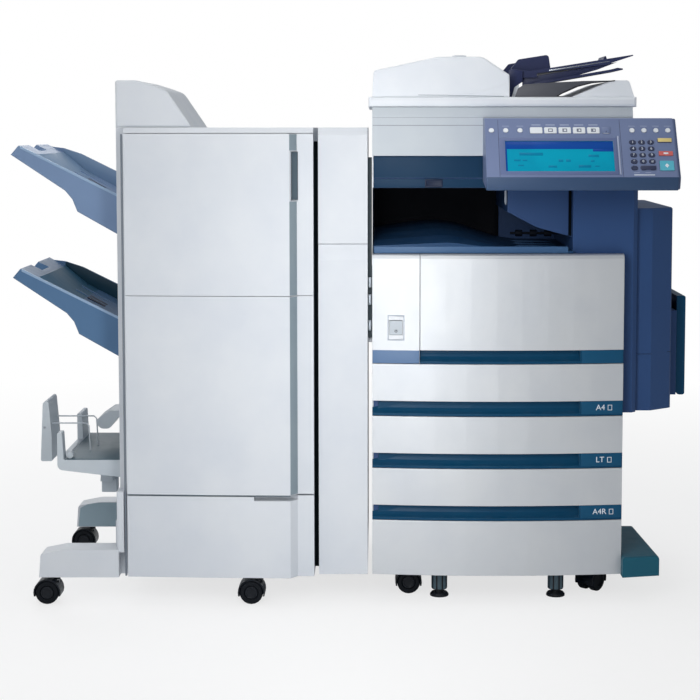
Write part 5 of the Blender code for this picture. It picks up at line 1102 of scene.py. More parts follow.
@dataclass
class ControlDesk(Assembly):
    """Trim, screen picture and key prints of the tilted control panel.

    Places on the face are (u, v): along the panel and up its slope, from its lower left corner.

    Attributes:
        tilt: Angle of the face from upright, in degrees.
        slope: Length of the face up its slope.
        screen: Left, bottom, right and top edge of the screen on the face.
        sunk: Depth of the screen's middle below the face.
        glass: Level of the screen's surface, below the face.
        key_top: Height of the key tops above the face.
        cap: Height of the caps on the key tops.
        film: Thickness of a print on each side of the surface it lies on.
        lip: Height of the front lip below the face.
        rake: Share of its height by which the lip falls back.
        proud: How far the lip stands out from the panel.
        surround: Margin of the screen's surround.
        flat_key: Place of the first flat key along the face, and their pitch.
        left_keys: Places of the round keys at the left.
        right_key: Place of the first round key at the right, and their pitch.
        digit: Place of the lowest left digit on the face.
        digit_pitch: Pitch of the digits along the face and up it.
        digit_rows: Signs of the rows of number keys, from the lowest row that has any.
        marks: Left, bottom, width and height of the marks on the screen, from its corner.
    """

    tilt: float = 33.0
    slope: float = 0.149
    screen: Span = (0.041, 0.016, 0.271, 0.092)
    sunk: float = 0.0022
    glass: float = -0.0009
    key_top: float = 0.0014
    cap: float = 0.0006
    film: float = 0.0002
    lip: float = 0.026
    rake: float = 0.3
    proud: float = 0.0006
    surround: float = 0.008
    flat_key: Spot = (0.109, 0.0305)
    left_keys: Spot = (0.044, 0.0745)
    right_key: Spot = (0.3135, 0.0255)
    digit: Spot = (0.3125, 0.0405)
    digit_pitch: Spot = (0.0192, 0.016)
    digit_rows: tuple[str, ...] = ("*0#", "789", "456", "123")
    marks: tuple[Span, ...] = (
        (0.030, 0.040, 0.050, 0.007), (0.018, 0.026, 0.014, 0.004), (0.036, 0.026, 0.010, 0.004),
        (0.112, 0.024, 0.010, 0.006), (0.128, 0.024, 0.010, 0.006), (0.176, 0.036, 0.022, 0.006),
        (0.180, 0.024, 0.008, 0.004), (0.090, 0.010, 0.018, 0.005), (0.154, 0.010, 0.026, 0.006),
        (0.188, 0.012, 0.010, 0.003), (0.026, 0.014, 0.012, 0.003))
    face: Matrix = field(init=False)

    def __post_init__(self) -> None:
        """Find the face from the screen's place in the frame."""
        low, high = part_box("lcd_screen")
        turn = Matrix.Rotation(math.radians(90 - self.tilt), 4, "X")
        left, bottom, right, top = self.screen
        corner = (low + high) / 2 + turn @ Vector((-(left + right) / 2, -(bottom + top) / 2, self.sunk))
        self.face = Matrix.Translation(corner) @ turn

    def build(self) -> None:
        """Build every piece of the panel."""
        self.body()
        self.frame()
        self.picture()
        self.top_keys()
        self.number_keys()

    def plate(self, name: str, spans: Span, floor: float, top: float,
              corner: float = 0.0004) -> Thing:
        """Rounded plate on the face.

        Args:
            name: The plate's name.
            spans: Left, bottom, right and top edge on the face.
            floor: Height of its underside above the face.
            top: Height of its upper side.
            corner: Radius of its edges.

        Returns:
            The plate.
        """
        left, bottom, right, high = spans
        thing = Bench.block(name, (left, bottom, floor), (right, high, top))
        Bench.round_off(thing, min(corner, (top - floor) * 0.45), 2)
        return self.lay(thing)

    def lay(self, thing: Thing) -> Thing:
        """Move a piece that was made flat at the origin onto the face."""
        thing.matrix_world = self.face
        return Bench.settle(thing, thing.name)

    def hole(self, low: Spot, high: Spot) -> Thing:
        """Cutting block through the face between two corners."""
        return self.lay(Bench.block("hole", (*low, -0.01), (*high, 0.01)))

    def line(self, u: float, v: float, wide: float, tall: float) -> Thing:
        """Printed bar centred along the face at u, with its lower edge at v."""
        return self.plate("word", (u - wide / 2, v, u + wide / 2, v + tall), -self.film, self.film)

    def sign(self, name: str, words: str, size: float, u: float, v: float, out: float) -> Thing:
        """Print that lies on the face."""
        return Bench.sign(name, words, size, self.face @ Matrix.Translation((u, v, out)))

    def body(self) -> None:
        """Dark front lip and the dark end of the panel."""
        low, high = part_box("control_panel")
        corner = self.face.translation
        back = corner.y + self.lip * self.rake
        under = corner.z - self.lip
        shape = [(corner.y - self.proud, corner.z + 0.002), (back - self.proud, under - self.proud),
                 (back + 0.02, under - self.proud), (corner.y + 0.01, corner.z + 0.001)]
        lip = Bench.profile("panel_lip", Axis.X, shape, low.x - self.proud, high.x - low.x)
        self.wear(lip, Shop.lip, Slot.SLATE, corner=0.002)
        top = self.face @ Vector((0, self.slope, 0))
        shape = [(corner.y + 0.003, corner.z + 0.001), (corner.y + 0.010, under + 0.001),
                 (high.y - 0.004, corner.z - self.lip * 0.4 + 0.002), (high.y - 0.004, high.z - 0.002),
                 (top.y + 0.001, high.z - 0.001)]
        end = Bench.profile("panel_end", Axis.X, shape, high.x - 0.003, 0.007)
        self.wear(Bench.round_off(end, 0.003, 4), Shop.deep_slate, Slot.SLATE)

    def frame(self) -> None:
        """Raised surround of the screen, its bright right edge, the seams beside it and a pale line."""
        left, bottom, right, top = self.screen
        margin = self.surround
        outer = self.plate("screen_surround", (left - 1.5 * margin, bottom - margin, right + margin,
                                               top + margin), -0.0004, 0.0009)
        Bench.carve(outer, self.hole((left, bottom), (right, top)))
        self.wear(outer, Shop.surround, Slot.SLATE)
        bar = self.plate("screen_edge_bar", (right + 0.009, bottom - margin, right + 0.013, top + 0.012),
                         -0.0004, 0.0016, 0.001)
        self.wear(bar, Shop.slate_light, Slot.SLATE)
        seams = [self.plate("seam", (u, 0.003, u + 0.0007, self.slope - 0.003), -0.0003, self.film)
                 for u in (left - 0.0135, right + 0.0165)]
        self.wear(Bench.merge("panel_seams", seams), Shop.ink, Slot.SLATE)
        line = self.plate("panel_pale_line", (0.310, 0.0065, 0.354, 0.0085), -self.film, 0.0004)
        self.wear(line, Shop.print_white, Slot.KEY)

    def picture(self) -> None:
        """Header bar and rows of marks on the screen."""
        left, bottom, right, top = self.screen
        edge = 0.0005
        bars = ((left + 0.004, top - 0.020, right - edge, top - edge),
                (right - 0.044, top - 0.026, right - edge, top - 0.019),
                (left + edge, bottom + edge, left + 0.004, top - edge))
        head = [self.plate("bar", bar, self.glass, -0.0004) for bar in bars]
        self.wear(Bench.merge("screen_header", head), Shop.header, Slot.SCREEN)
        marks = [self.plate("mark", (left + u, bottom + v, left + u + wide, bottom + v + tall), self.glass,
                            -0.0005, 0.0001)
                 for u, v, wide, tall in self.marks]
        self.wear(Bench.merge("screen_marks", marks), Shop.screen_ink, Slot.SCREEN)

    def top_keys(self) -> None:
        """Page signs on the flat keys, captions of the keys, and the slate key beside them."""
        first, pitch = self.flat_key
        flats = [first + pitch * number for number in range(5)]
        icons = []
        for number, u in enumerate(flats[1:]):
            ring = self.plate("icon", (u - 0.005, 0.1140, u + 0.005, 0.1225), self.key_top - self.film,
                              self.key_top + self.film)
            hole = self.hole((u - 0.003 + 0.001 * number, 0.1160), (u + 0.003, 0.1205))
            icons.append(Bench.carve(ring, hole))
        self.wear(Bench.merge("flat_key_icons", icons), Shop.faint_ink, Slot.KEY, "function_keys")
        first, pitch = self.right_key
        rounds = [*self.left_keys, *(first + pitch * number for number in range(4))]
        words = [self.line(u, 0.1315, 0.020, 0.002) for u in flats]
        words += [self.line(u, 0.1290, 0.014, 0.001) for u in rounds]
        words += [self.line(u, 0.0125, 0.012, 0.001) for u in (0.316, 0.340)]
        self.wear(Bench.merge("panel_captions", words), Shop.caption, Slot.KEY)
        top = self.key_top + 0.0007
        slate = self.plate("slate_key_cap", (0.2495, 0.1110, 0.2665, 0.1260), self.key_top - 0.0001, top)
        self.wear(slate, Shop.slate, Slot.SLATE, "function_keys")
        dot = self.sign("slate_key_dot", "v", 0.008, 0.258, 0.1150, top)
        self.wear(dot, Shop.ink, Slot.SLATE, "function_keys")

    def number_keys(self) -> None:
        """Digits, the wide key, the yellow key and the marks on the start and stop keys."""
        left, bottom = self.digit
        across, up = self.digit_pitch
        prints = [self.sign("digit", word, 0.0085, left + across * column, bottom + up * row, self.key_top)
                  for row, words in enumerate(self.digit_rows) for column, word in enumerate(words)]
        self.wear(Bench.merge("keypad_digits", prints), Shop.print_white, Slot.KEY, "keypad")
        for name, spans, kind, slot in (
                ("wide_key", (0.3253, 0.0196, 0.3574, 0.0294), Shop.key_dark, Slot.SLATE),
                ("clear_key_cap", (0.3663, 0.0888, 0.3957, 0.0982), Shop.yellow, Slot.KEY)):
            key = self.plate(name, spans, self.key_top - 0.0001, self.key_top + self.cap)
            self.wear(key, kind, slot, "keypad")
        diamond = ((0.381, 0.0245), (0.3855, 0.030), (0.381, 0.0355), (0.3765, 0.030))
        spark = self.lay(Bench.profile("start_mark", Axis.Z, diamond, 0.001, self.key_top - 0.0008))
        self.wear(spark, Shop.print_white, Slot.KEY, "start_key", 0.0001)
        bar = self.plate("stop_mark", (0.376, 0.0585, 0.386, 0.0625), self.key_top - 0.0004,
                         self.key_top + self.film)
        self.wear(bar, Shop.print_white, Slot.KEY, "stop_key")


# Document feeder

@dataclass
class Feeder(Assembly):
    """Dark fittings and paper outlet of the document feeder.

    Attributes:
        lid_rise: Height of the lid's top above the glass.
        shoe: Outline of the shoe over an ear of the document tray, from the lid's top at its left.
        shoe_thick: Thickness of a shoe.
        outlet_left: Gap between the feeder and the outlet's wall.
        outlet_right: Gap between the outlet's wall and the lid's right end.
        outlet_crest: Upper edge of the outlet's wall, from its lower left corner.
        outlet_sweep: Swept lower edge of the wall, from below its right end.
        outlet_stripe: Middle line of the dark edge along the sweep.
        tilt: Rise of the document tray, in degrees.
        web: Outline of the web below the tray, as places along it and drops below its floor.
    """

    lid_rise: float = 0.0225
    shoe: tuple[Spot, ...] = ((0.0, 0.0), (0.006, 0.0), (0.012, 0.022), (0.030, 0.034), (0.030, 0.058),
                              (0.010, 0.062), (0.0, 0.060))
    shoe_thick: float = 0.008
    outlet_left: float = 0.012
    outlet_right: float = 0.045
    outlet_crest: tuple[Spot, ...] = ((0.0, 0.0), (0.006, 0.018), (0.020, 0.027), (0.080, 0.031),
                                      (0.150, 0.0345))
    outlet_sweep: tuple[Spot, ...] = ((0.0, 0.0355), (-0.018, 0.0335), (-0.050, 0.0295), (-0.082, 0.0215),
                                      (-0.108, 0.010), (-0.132, 0.0))
    outlet_stripe: tuple[Spot, ...] = ((-0.002, 0.0350), (-0.054, 0.0300), (-0.088, 0.0215),
                                       (-0.113, 0.010), (-0.128, 0.001))
    tilt: float = 9.0
    web: tuple[Spot, ...] = ((0.030, 0.010), (0.030, 0.030), (0.110, 0.0285), (0.195, 0.018), (0.240, 0.008))

    def build(self) -> None:
        """Build every piece of the feeder."""
        self.ears()
        self.outlet()
        self.tray()
        self.cover()

    def ears(self) -> None:
        """Dark shoes over the two ears that carry the document tray."""
        low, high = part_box("adf_input_tray")
        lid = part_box("platen_glass")[1].z + self.lid_rise
        outline = [(low.x - 0.001 + x, lid + z) for x, z in self.shoe]
        for name, place in (("ear_shoe_front", low.y - self.shoe_thick - 0.001),
                            ("ear_shoe_rear", high.y + 0.001)):
            shoe = Bench.profile(name, Axis.Y, outline, place, self.shoe_thick)
            self.wear(shoe, Shop.tray_navy, Slot.NAVY, "platen_lid", 0.0012)

    def outlet(self) -> None:
        """Dark wall behind the paper outlet, its swept edge and the floor of the output rest."""
        lid_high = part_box("adf_base")[1]
        low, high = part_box("adf_feed_cover")
        left = high.x + self.outlet_left
        right = lid_high.x - self.outlet_right
        front = low.y - 0.0016
        outline = [(left + x, low.z + z) for x, z in self.outlet_crest]
        outline += [(right + x, low.z + z) for x, z in self.outlet_sweep]
        wall = Bench.profile("outlet_wall", Axis.Y, outline, front, 0.0014)
        self.wear(wall, Shop.outlet_grey, Slot.GREY, "platen_lid", 0.0004)
        line = [(right + x, front - 0.0004, low.z + z) for x, z in self.outlet_stripe]
        self.wear(Bench.rod("outlet_rim", line, 0.0012), Shop.black, Slot.BLACK, "platen_lid")
        rest = Bench.panel("outlet_floor", (left + 0.004, front + 0.030, low.z - 0.001),
                           (right - 0.03, lid_high.y - 0.16, low.z + 0.001), Side.UP, 0.012, 0.0016)
        self.wear(rest, Shop.outlet_grey, Slot.GREY, "platen_lid", 0.0006)

    def tray(self) -> None:
        """Bright edge, lower rail, web and ribs of the document tray."""
        low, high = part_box("adf_input_tray")
        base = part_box("document_guide_front")[0].z - 0.003
        tilt = math.radians(self.tilt)

        def floor(x: float) -> float:
            """Level of the tray's floor at a place along it."""
            return base + (x - low.x - 0.008) * math.tan(tilt)
        start, end = low.x + 0.088, high.x - 0.052
        foot, head = floor(start) - 0.0042, floor(end) - 0.0042
        strip = Bench.profile("tray_bright_edge", Axis.Y,
                              [(start, foot), (end, head), (end, head + 0.0012), (start, foot + 0.0030)],
                              low.y - 0.0006, 0.001)
        self.wear(strip, Shop.steel, Slot.GREY, "input_tray", 0.0002)
        start, end = low.x + 0.056, high.x - 0.022
        foot, head = floor(start) - 0.030, floor(end) - 0.026
        rail = Bench.profile("tray_lower_rail", Axis.Y,
                             [(start, foot), (end, head - 0.001), (end, head + 0.002),
                              (end - 0.012, head + 0.0035), (end - 0.020, head + 0.001),
                              (start, foot + 0.006)], low.y + 0.002, 0.18)
        self.wear(rail, Shop.tray_navy, Slot.NAVY, "input_tray", 0.0008)
        outline = [(low.x + along, floor(low.x + along) - drop) for along, drop in self.web]
        web = Bench.profile("tray_web", Axis.Y, outline, low.y + 0.010, 0.004)
        self.wear(web, Shop.tray_navy, Slot.NAVY, "input_tray", 0.0008)
        start = low.x + 0.10
        place = Matrix.Translation((start, 0, floor(start) - 0.0004)) @ Matrix.Rotation(-tilt, 4, "Y")
        ribs = []
        for y in (low.y + 0.10, (low.y + high.y) / 2, high.y - 0.10):
            rib = Bench.round_off(Bench.block("rib", (0, y - 0.002, 0), (0.13, y + 0.002, 0.0012)), 0.0005)
            rib.matrix_world = place
            ribs.append(Bench.settle(rib, "rib"))
        self.wear(Bench.merge("tray_ribs", ribs), Shop.tray_navy, Slot.NAVY, "input_tray")

    def cover(self) -> None:
        """Release lever on the feeder's crown, its seam and the crease beside it."""
        low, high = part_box("adf_feed_cover")
        lever = Bench.panel("feeder_lever", (low.x + 0.176, low.y + 0.03, high.z - 0.004),
                            (low.x + 0.206, low.y + 0.11, high.z + 0.0035), Side.UP, 0.004, 0.001)
        self.wear(lever, Shop.feeder_white, Slot.WHITE, "feed_cover", 0.0015)
        line = ((low.x + 0.10, 0.0040), (low.x + 0.16, 0.0036), (low.x + 0.22, 0.0022),
                (high.x - 0.012, 0.0010))
        seam = Bench.rod("feeder_seam", [(x, low.y - 0.0001, low.z + up) for x, up in line], 0.0006)
        self.wear(seam, Shop.seam, Slot.GREY, "feed_cover")
        fold = ((low.x + 0.19, 0.0055), (low.x + 0.24, 0.0125), (high.x - 0.006, 0.0290))
        crease = Bench.rod("feeder_crease", [(x, low.y + 0.0003, low.z + up) for x, up in fold], 0.0007)
        self.wear(crease, Shop.lid_white, Slot.WHITE, "feed_cover")


# Copier fronts

@dataclass
class CopierFronts(Assembly):
    """Paper-size marks, grip trims and the switch surround on the copier's front.

    Attributes:
        marks: Paper-size words of the drawers, from the top.
        bow: How far the fronts' ends lie behind their middle.
        strip: Height of the blue strip below the switch panel.
        block: Width and height of a label block.
        block_back: How far a label block reaches back.
        proud: How far a block stands in front of the bowed face.
        gap: Gap between a block and the edge beside it.
        mark_inset: Distance of a block's mark from its right end.
        mark_size: Height of the paper-size words.
        letter: Half the width of one letter.
        page: Half the width and half the height of the page sign.
        page_line: Width of the page sign's line.
        rim: Half the width and half the height of the rocker's surround.
        rim_line: Width of the surround.
    """

    marks: tuple[str, str, str] = ("A4", "LT", "A4R")
    bow: float = 0.017
    strip: float = 0.0288
    block: Spot = (0.092, 0.0285)
    block_back: float = 0.02
    proud: float = 0.0006
    gap: float = 0.0008
    mark_inset: float = 0.043
    mark_size: float = 0.0175
    letter: float = 0.0052
    page: Spot = (0.0048, 0.0060)
    page_line: float = 0.0012
    rim: Spot = (0.0185, 0.0280)
    rim_line: float = 0.002

    def build(self) -> None:
        """Build every piece of the fronts."""
        for number, word in enumerate(self.marks, 1):
            self.label(number, word)
        self.switch()
        self.cover()

    def face(self, x: float) -> float:
        """Bowed front of the copier.

        Args:
            x: Place across it.

        Returns:
            Its depth there.
        """
        low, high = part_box("base_panel")
        middle = (low.x + high.x) / 2
        return low.y + self.bow * ((x - middle) / ((high.x - low.x) / 2)) ** 2

    def along(self, x: float) -> Matrix:
        """Turn that lays a flat sign along the bowed front.

        Args:
            x: Place across the front.

        Returns:
            The turn.
        """
        near = 0.01
        ahead = (self.face(x + near) - self.face(x - near)) / (2 * near)
        return Matrix.Rotation(math.atan(ahead), 4, "Z") @ Matrix.Rotation(math.pi / 2, 4, "X")

    def curve(self, left: float, right: float, out: float, steps: int = 6) -> list[Spot]:
        """Points along the bowed front, a little in front of it."""
        places = [left + (right - left) * step / steps for step in range(steps + 1)]
        return [(x, self.face(x) - out) for x in places]

    def band(self, name: str, left: float, right: float, low: float, high: float, out: float,
             deep: float) -> Thing:
        """Strip that follows the bowed front.

        Args:
            name: The strip's name.
            left: Its left end.
            right: Its right end.
            low: Level of its lower edge.
            high: Level of its upper edge.
            out: How far it stands in front of the face.
            deep: Its thickness.

        Returns:
            The strip.
        """
        front = self.curve(left, right, out)
        back = [(x, y + deep) for x, y in reversed(front)]
        return Bench.profile(name, Axis.Z, front + back, low, high - low)

    @staticmethod
    def ring(name: str, half: Spot, line: float, low: float, high: float) -> Thing:
        """Flat rectangular ring about the origin.

        Args:
            name: The ring's name.
            half: Half its width and half its height.
            line: Width of its sides.
            low: Level of its underside.
            high: Level of its upper side.

        Returns:
            The ring, flat at the origin.
        """
        wide, tall = half
        ring = Bench.block(name, (-wide, -tall, low), (wide, tall, high))
        hole = Bench.block("hole", (line - wide, line - tall, -0.01), (wide - line, tall - line, 0.01))
        return Bench.carve(ring, hole)

    def label(self, number: int, word: str) -> None:
        """Flat label block at the right of a drawer's grip, with its paper-size mark and page sign.

        Args:
            number: The drawer's number, from the top.
            word: Its paper-size word.
        """
        body = f"drawer_{number}"
        low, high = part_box(f"{body}_front")
        wide, tall = self.block
        top = low.z - self.proud
        base = top - tall
        block = self.band(f"{body}_label_block", high.x - wide, high.x - self.gap, base, top, self.proud,
                          self.block_back)
        self.wear(block, Shop.label_blue, Slot.TEAL, body, 0.0008)
        middle = high.x - self.mark_inset
        turn = self.along(middle)
        height = (base + top) / 2
        x = middle - 0.007
        place = Matrix.Translation((x, self.face(x) - 0.0008, height)) @ turn
        sign = Bench.sign(f"{body}_size", word, self.mark_size, place, 0.0004)
        self.wear(sign, Shop.print_white, Slot.KEY, body)
        page = Bench.round_off(self.ring(f"{body}_page", self.page, self.page_line, 0, 0.0004), 0.0001)
        x = middle + 0.0035 + self.letter * len(word)
        page.matrix_world = Matrix.Translation((x, self.face(x) - 0.0009, height)) @ turn
        self.wear(Bench.settle(page, page.name), Shop.print_white, Slot.KEY, body)

    def switch(self) -> None:
        """Blue strip below the switch panel, the rocker's surround and its marks."""
        low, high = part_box("switch_panel")
        strip = self.band("switch_strip", low.x + 0.0004, high.x - 0.0004, low.z, low.z + self.strip,
                          0.0008, 0.012)
        self.wear(strip, Shop.strip_blue, Slot.BLUE, corner=0.0006)
        low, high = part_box("power_switch")
        middle = (low + high) / 2
        turn = self.along(middle.x)
        rim = Bench.round_off(self.ring("switch_rim", self.rim, self.rim_line, -0.001, 0.001), 0.0005)
        rim.matrix_world = Matrix.Translation((middle.x, self.face(middle.x), middle.z)) @ turn
        self.wear(Bench.settle(rim, "switch_rim"), Shop.shade_white, Slot.WHITE)
        for name, word, up, back in (("switch_on_mark", "I", 0.008, 0.004),
                                     ("switch_off_mark", "O", -0.008, 0.0)):
            place = Matrix.Translation((middle.x, low.y - 0.0003 + back, middle.z + up)) @ turn
            mark = Bench.sign(name, word, 0.008, place, 0.0012)
            self.wear(mark, Shop.ink, Slot.GREY, "power_switch")

    def cover(self) -> None:
        """Flat block at the right of the front cover's grip."""
        low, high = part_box("front_cover_grip")
        block = self.band("cover_grip_block", high.x - self.block[0], high.x - self.gap, low.z,
                          high.z - self.proud, self.proud, self.block_back)
        self.wear(block, Shop.label_blue, Slot.TEAL, "front_cover", 0.0008)


# Scanner and paper exit

@dataclass
class ExitBay(Assembly):
    """Groove lines of the scanner, and the sheets of painted shade, rollers and ribs in the paper exit.

    Attributes:
        grooves: Depth below the scanner's top and height of each groove line.
        neck: Lower and upper edge of the two neck panels, below the scanner.
        latch: Left and right end of the latch, from the neck's left end.
        roof_drop: Height of the neck above the exit's roof.
        outlet: Width of the outlet unit at the exit's right.
        shaft: Depth of the roller shaft below the roof, its place behind the tray's front and its length.
        rollers: Places of the rollers along the shaft, as shares of it.
        ribs: Places of the tray's ribs, as shares of its depth.
    """

    grooves: tuple[Spot, Spot] = ((0.0285, 0.0008), (0.046, 0.0016))
    neck: tuple[Spot, Spot] = ((0.048, 0.001), (0.0695, 0.0505))
    latch: Spot = (0.112, 0.151)
    roof_drop: float = 0.070
    outlet: float = 0.136
    shaft: Triple = (0.104, 0.075, 0.130)
    rollers: tuple[float, ...] = (0.15, 0.4, 0.65)
    ribs: tuple[float, ...] = (0.3, 0.5, 0.7)

    def build(self) -> None:
        """Build every piece of the scanner's front and of the exit."""
        self.groove_lines()
        self.neck_panels()
        self.shade_sheets()
        self.roller_shaft()
        self.tray()

    def groove_lines(self) -> None:
        """Two groove lines along the scanner's front."""
        low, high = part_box("scanner_housing")
        for number, (drop, tall) in enumerate(self.grooves, 1):
            line = Bench.block(f"scanner_groove_{number}", (low.x + 0.001, low.y - 0.0002, high.z - drop),
                               (high.x - 0.001, low.y + 0.004, high.z - drop + tall))
            self.wear(line, Shop.seam, Slot.GREY, corner=0.0002)

    def neck_panels(self) -> None:
        """Dark panels on the neck below the scanner, and its latch."""
        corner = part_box("scanner_housing")[0]
        left, top = corner.x + 0.003, corner.z
        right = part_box("control_panel")[0].x + 0.02
        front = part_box("copier_chassis")[0].y
        for name, (low, high) in zip(("neck_upper_panel", "neck_lower_panel"), self.neck):
            panel = Bench.panel(name, (left, front - 0.0012, top - low), (right, front + 0.002, top - high),
                                Side.AHEAD, 0.0015, 0.0004)
            self.wear(panel, Shop.neck_teal, Slot.NAVY, corner=0.0004)
        start, end = self.latch
        latch = Bench.panel("neck_latch", (left + start, front - 0.0032, top - 0.0690),
                            (left + end, front + 0.001, top - 0.0515), Side.AHEAD, 0.003, -0.0012)
        self.wear(latch, Shop.deep_navy, Slot.NAVY, corner=0.0006)

    def roof(self) -> float:
        """Level of the exit's roof."""
        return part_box("scanner_housing")[0].z - self.roof_drop

    def shade_sheets(self) -> None:
        """Near-black sheets of painted shade on the back, roof and left wall of the paper exit, and a black
        strip of painted shade in the gap beside its outlet.
        """
        low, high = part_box("exit_tray")
        roof = self.roof()
        back = Bench.panel("exit_back_shade_sheet", (low.x + 0.001, high.y - 0.003, low.z + 0.008),
                           (high.x - self.outlet, high.y - 0.0005, roof - 0.001), Side.AHEAD, 0.01, -0.0008)
        left = Bench.panel("exit_left_shade_sheet", (low.x - 0.0022, low.y + 0.004, low.z + 0.050),
                           (low.x + 0.0005, high.y - 0.004, roof - 0.001), Side.RIGHT, 0.006, -0.0004)
        cover = Bench.panel("exit_roof_shade_sheet", (low.x + 0.001, low.y + 0.006, roof - 0.0016),
                            (high.x - self.outlet - 0.001, high.y - 0.004, roof + 0.001), Side.DOWN, 0.01,
                            -0.0004)
        for sheet in (back, left, cover):
            self.wear(sheet, Shop.exit_shade_black, Slot.BLACK, corner=0.0003)
        gap = Bench.panel("exit_outlet_gap", (high.x - 0.0070, low.y + 0.0425, roof - 0.108),
                          (high.x - 0.0006, low.y + 0.052, roof - 0.001), Side.AHEAD, 0.0008, -0.0006)
        # Black strip of painted shade in the gap beside the outlet
        self.wear(gap, Shop.shadow, Slot.BLACK)

    def roller_shaft(self) -> None:
        """Shaft with rollers behind the outlet's lower edge, and a bright guide strip."""
        low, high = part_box("exit_tray")
        roof = self.roof()
        drop, behind, length = self.shaft
        y, z = low.y + behind, roof - drop
        left = high.x - 0.004 - length
        rod = Bench.drum("shaft", (left + length / 2, y, z), 0.003, length, Axis.X, 16)
        pieces = [Bench.round_off(rod, 0.0005)]
        for share in self.rollers:
            roller = Bench.drum("roller", (left + length * share, y, z), 0.0075, 0.016, Axis.X, 24)
            pieces.append(Bench.round_off(roller, 0.0015))
        # The rollers take the same near-black as the exit's painted shade
        self.wear(Bench.merge("exit_rollers", pieces), Shop.exit_shade_black, Slot.BLACK)
        strip = Bench.block("exit_strip", (left - 0.014, y - 0.02, roof - 0.036),
                            (left - 0.0095, y - 0.016, roof - 0.004))
        Bench.push(strip, Side.DOWN.sees, 0.001, (0.001, 0, -0.004))
        self.wear(strip, Shop.shade_white, Slot.WHITE, corner=0.0008)

    def tray(self) -> None:
        """Low ribs along the exit tray, and its front lip in a lighter blue as painted light."""
        low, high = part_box("exit_tray")
        outline = [(low.x + 0.30, low.z + 0.004), (low.x + 0.33, low.z + 0.0105),
                   (high.x - 0.03, low.z + 0.0085), (high.x - 0.01, low.z + 0.004)]
        ribs = []
        for share in self.ribs:
            rib = Bench.profile("rib", Axis.Y, outline, low.y + (high.y - low.y) * share, 0.004)
            ribs.append(Bench.round_off(rib, 0.0008))
        # Ribs share the tray's painted-shade blue
        self.wear(Bench.merge("exit_tray_ribs", ribs), Shop.exit_shaded_blue, Slot.BLUE)
        lip = Bench.block("exit_tray_lip", (low.x + 0.002, low.y - 0.0012, low.z + 0.001),
                          (high.x - 0.012, low.y + 0.0015, low.z + 0.0145))
        Bench.push(lip, Side.UP.sees, 0.0004, (0, 0.0006, 0.0008))
        # Lighter lip colour: painted light
        self.wear(lip, Shop.exit_lip_lit_blue, Slot.BLUE, corner=0.0004)


# Finisher

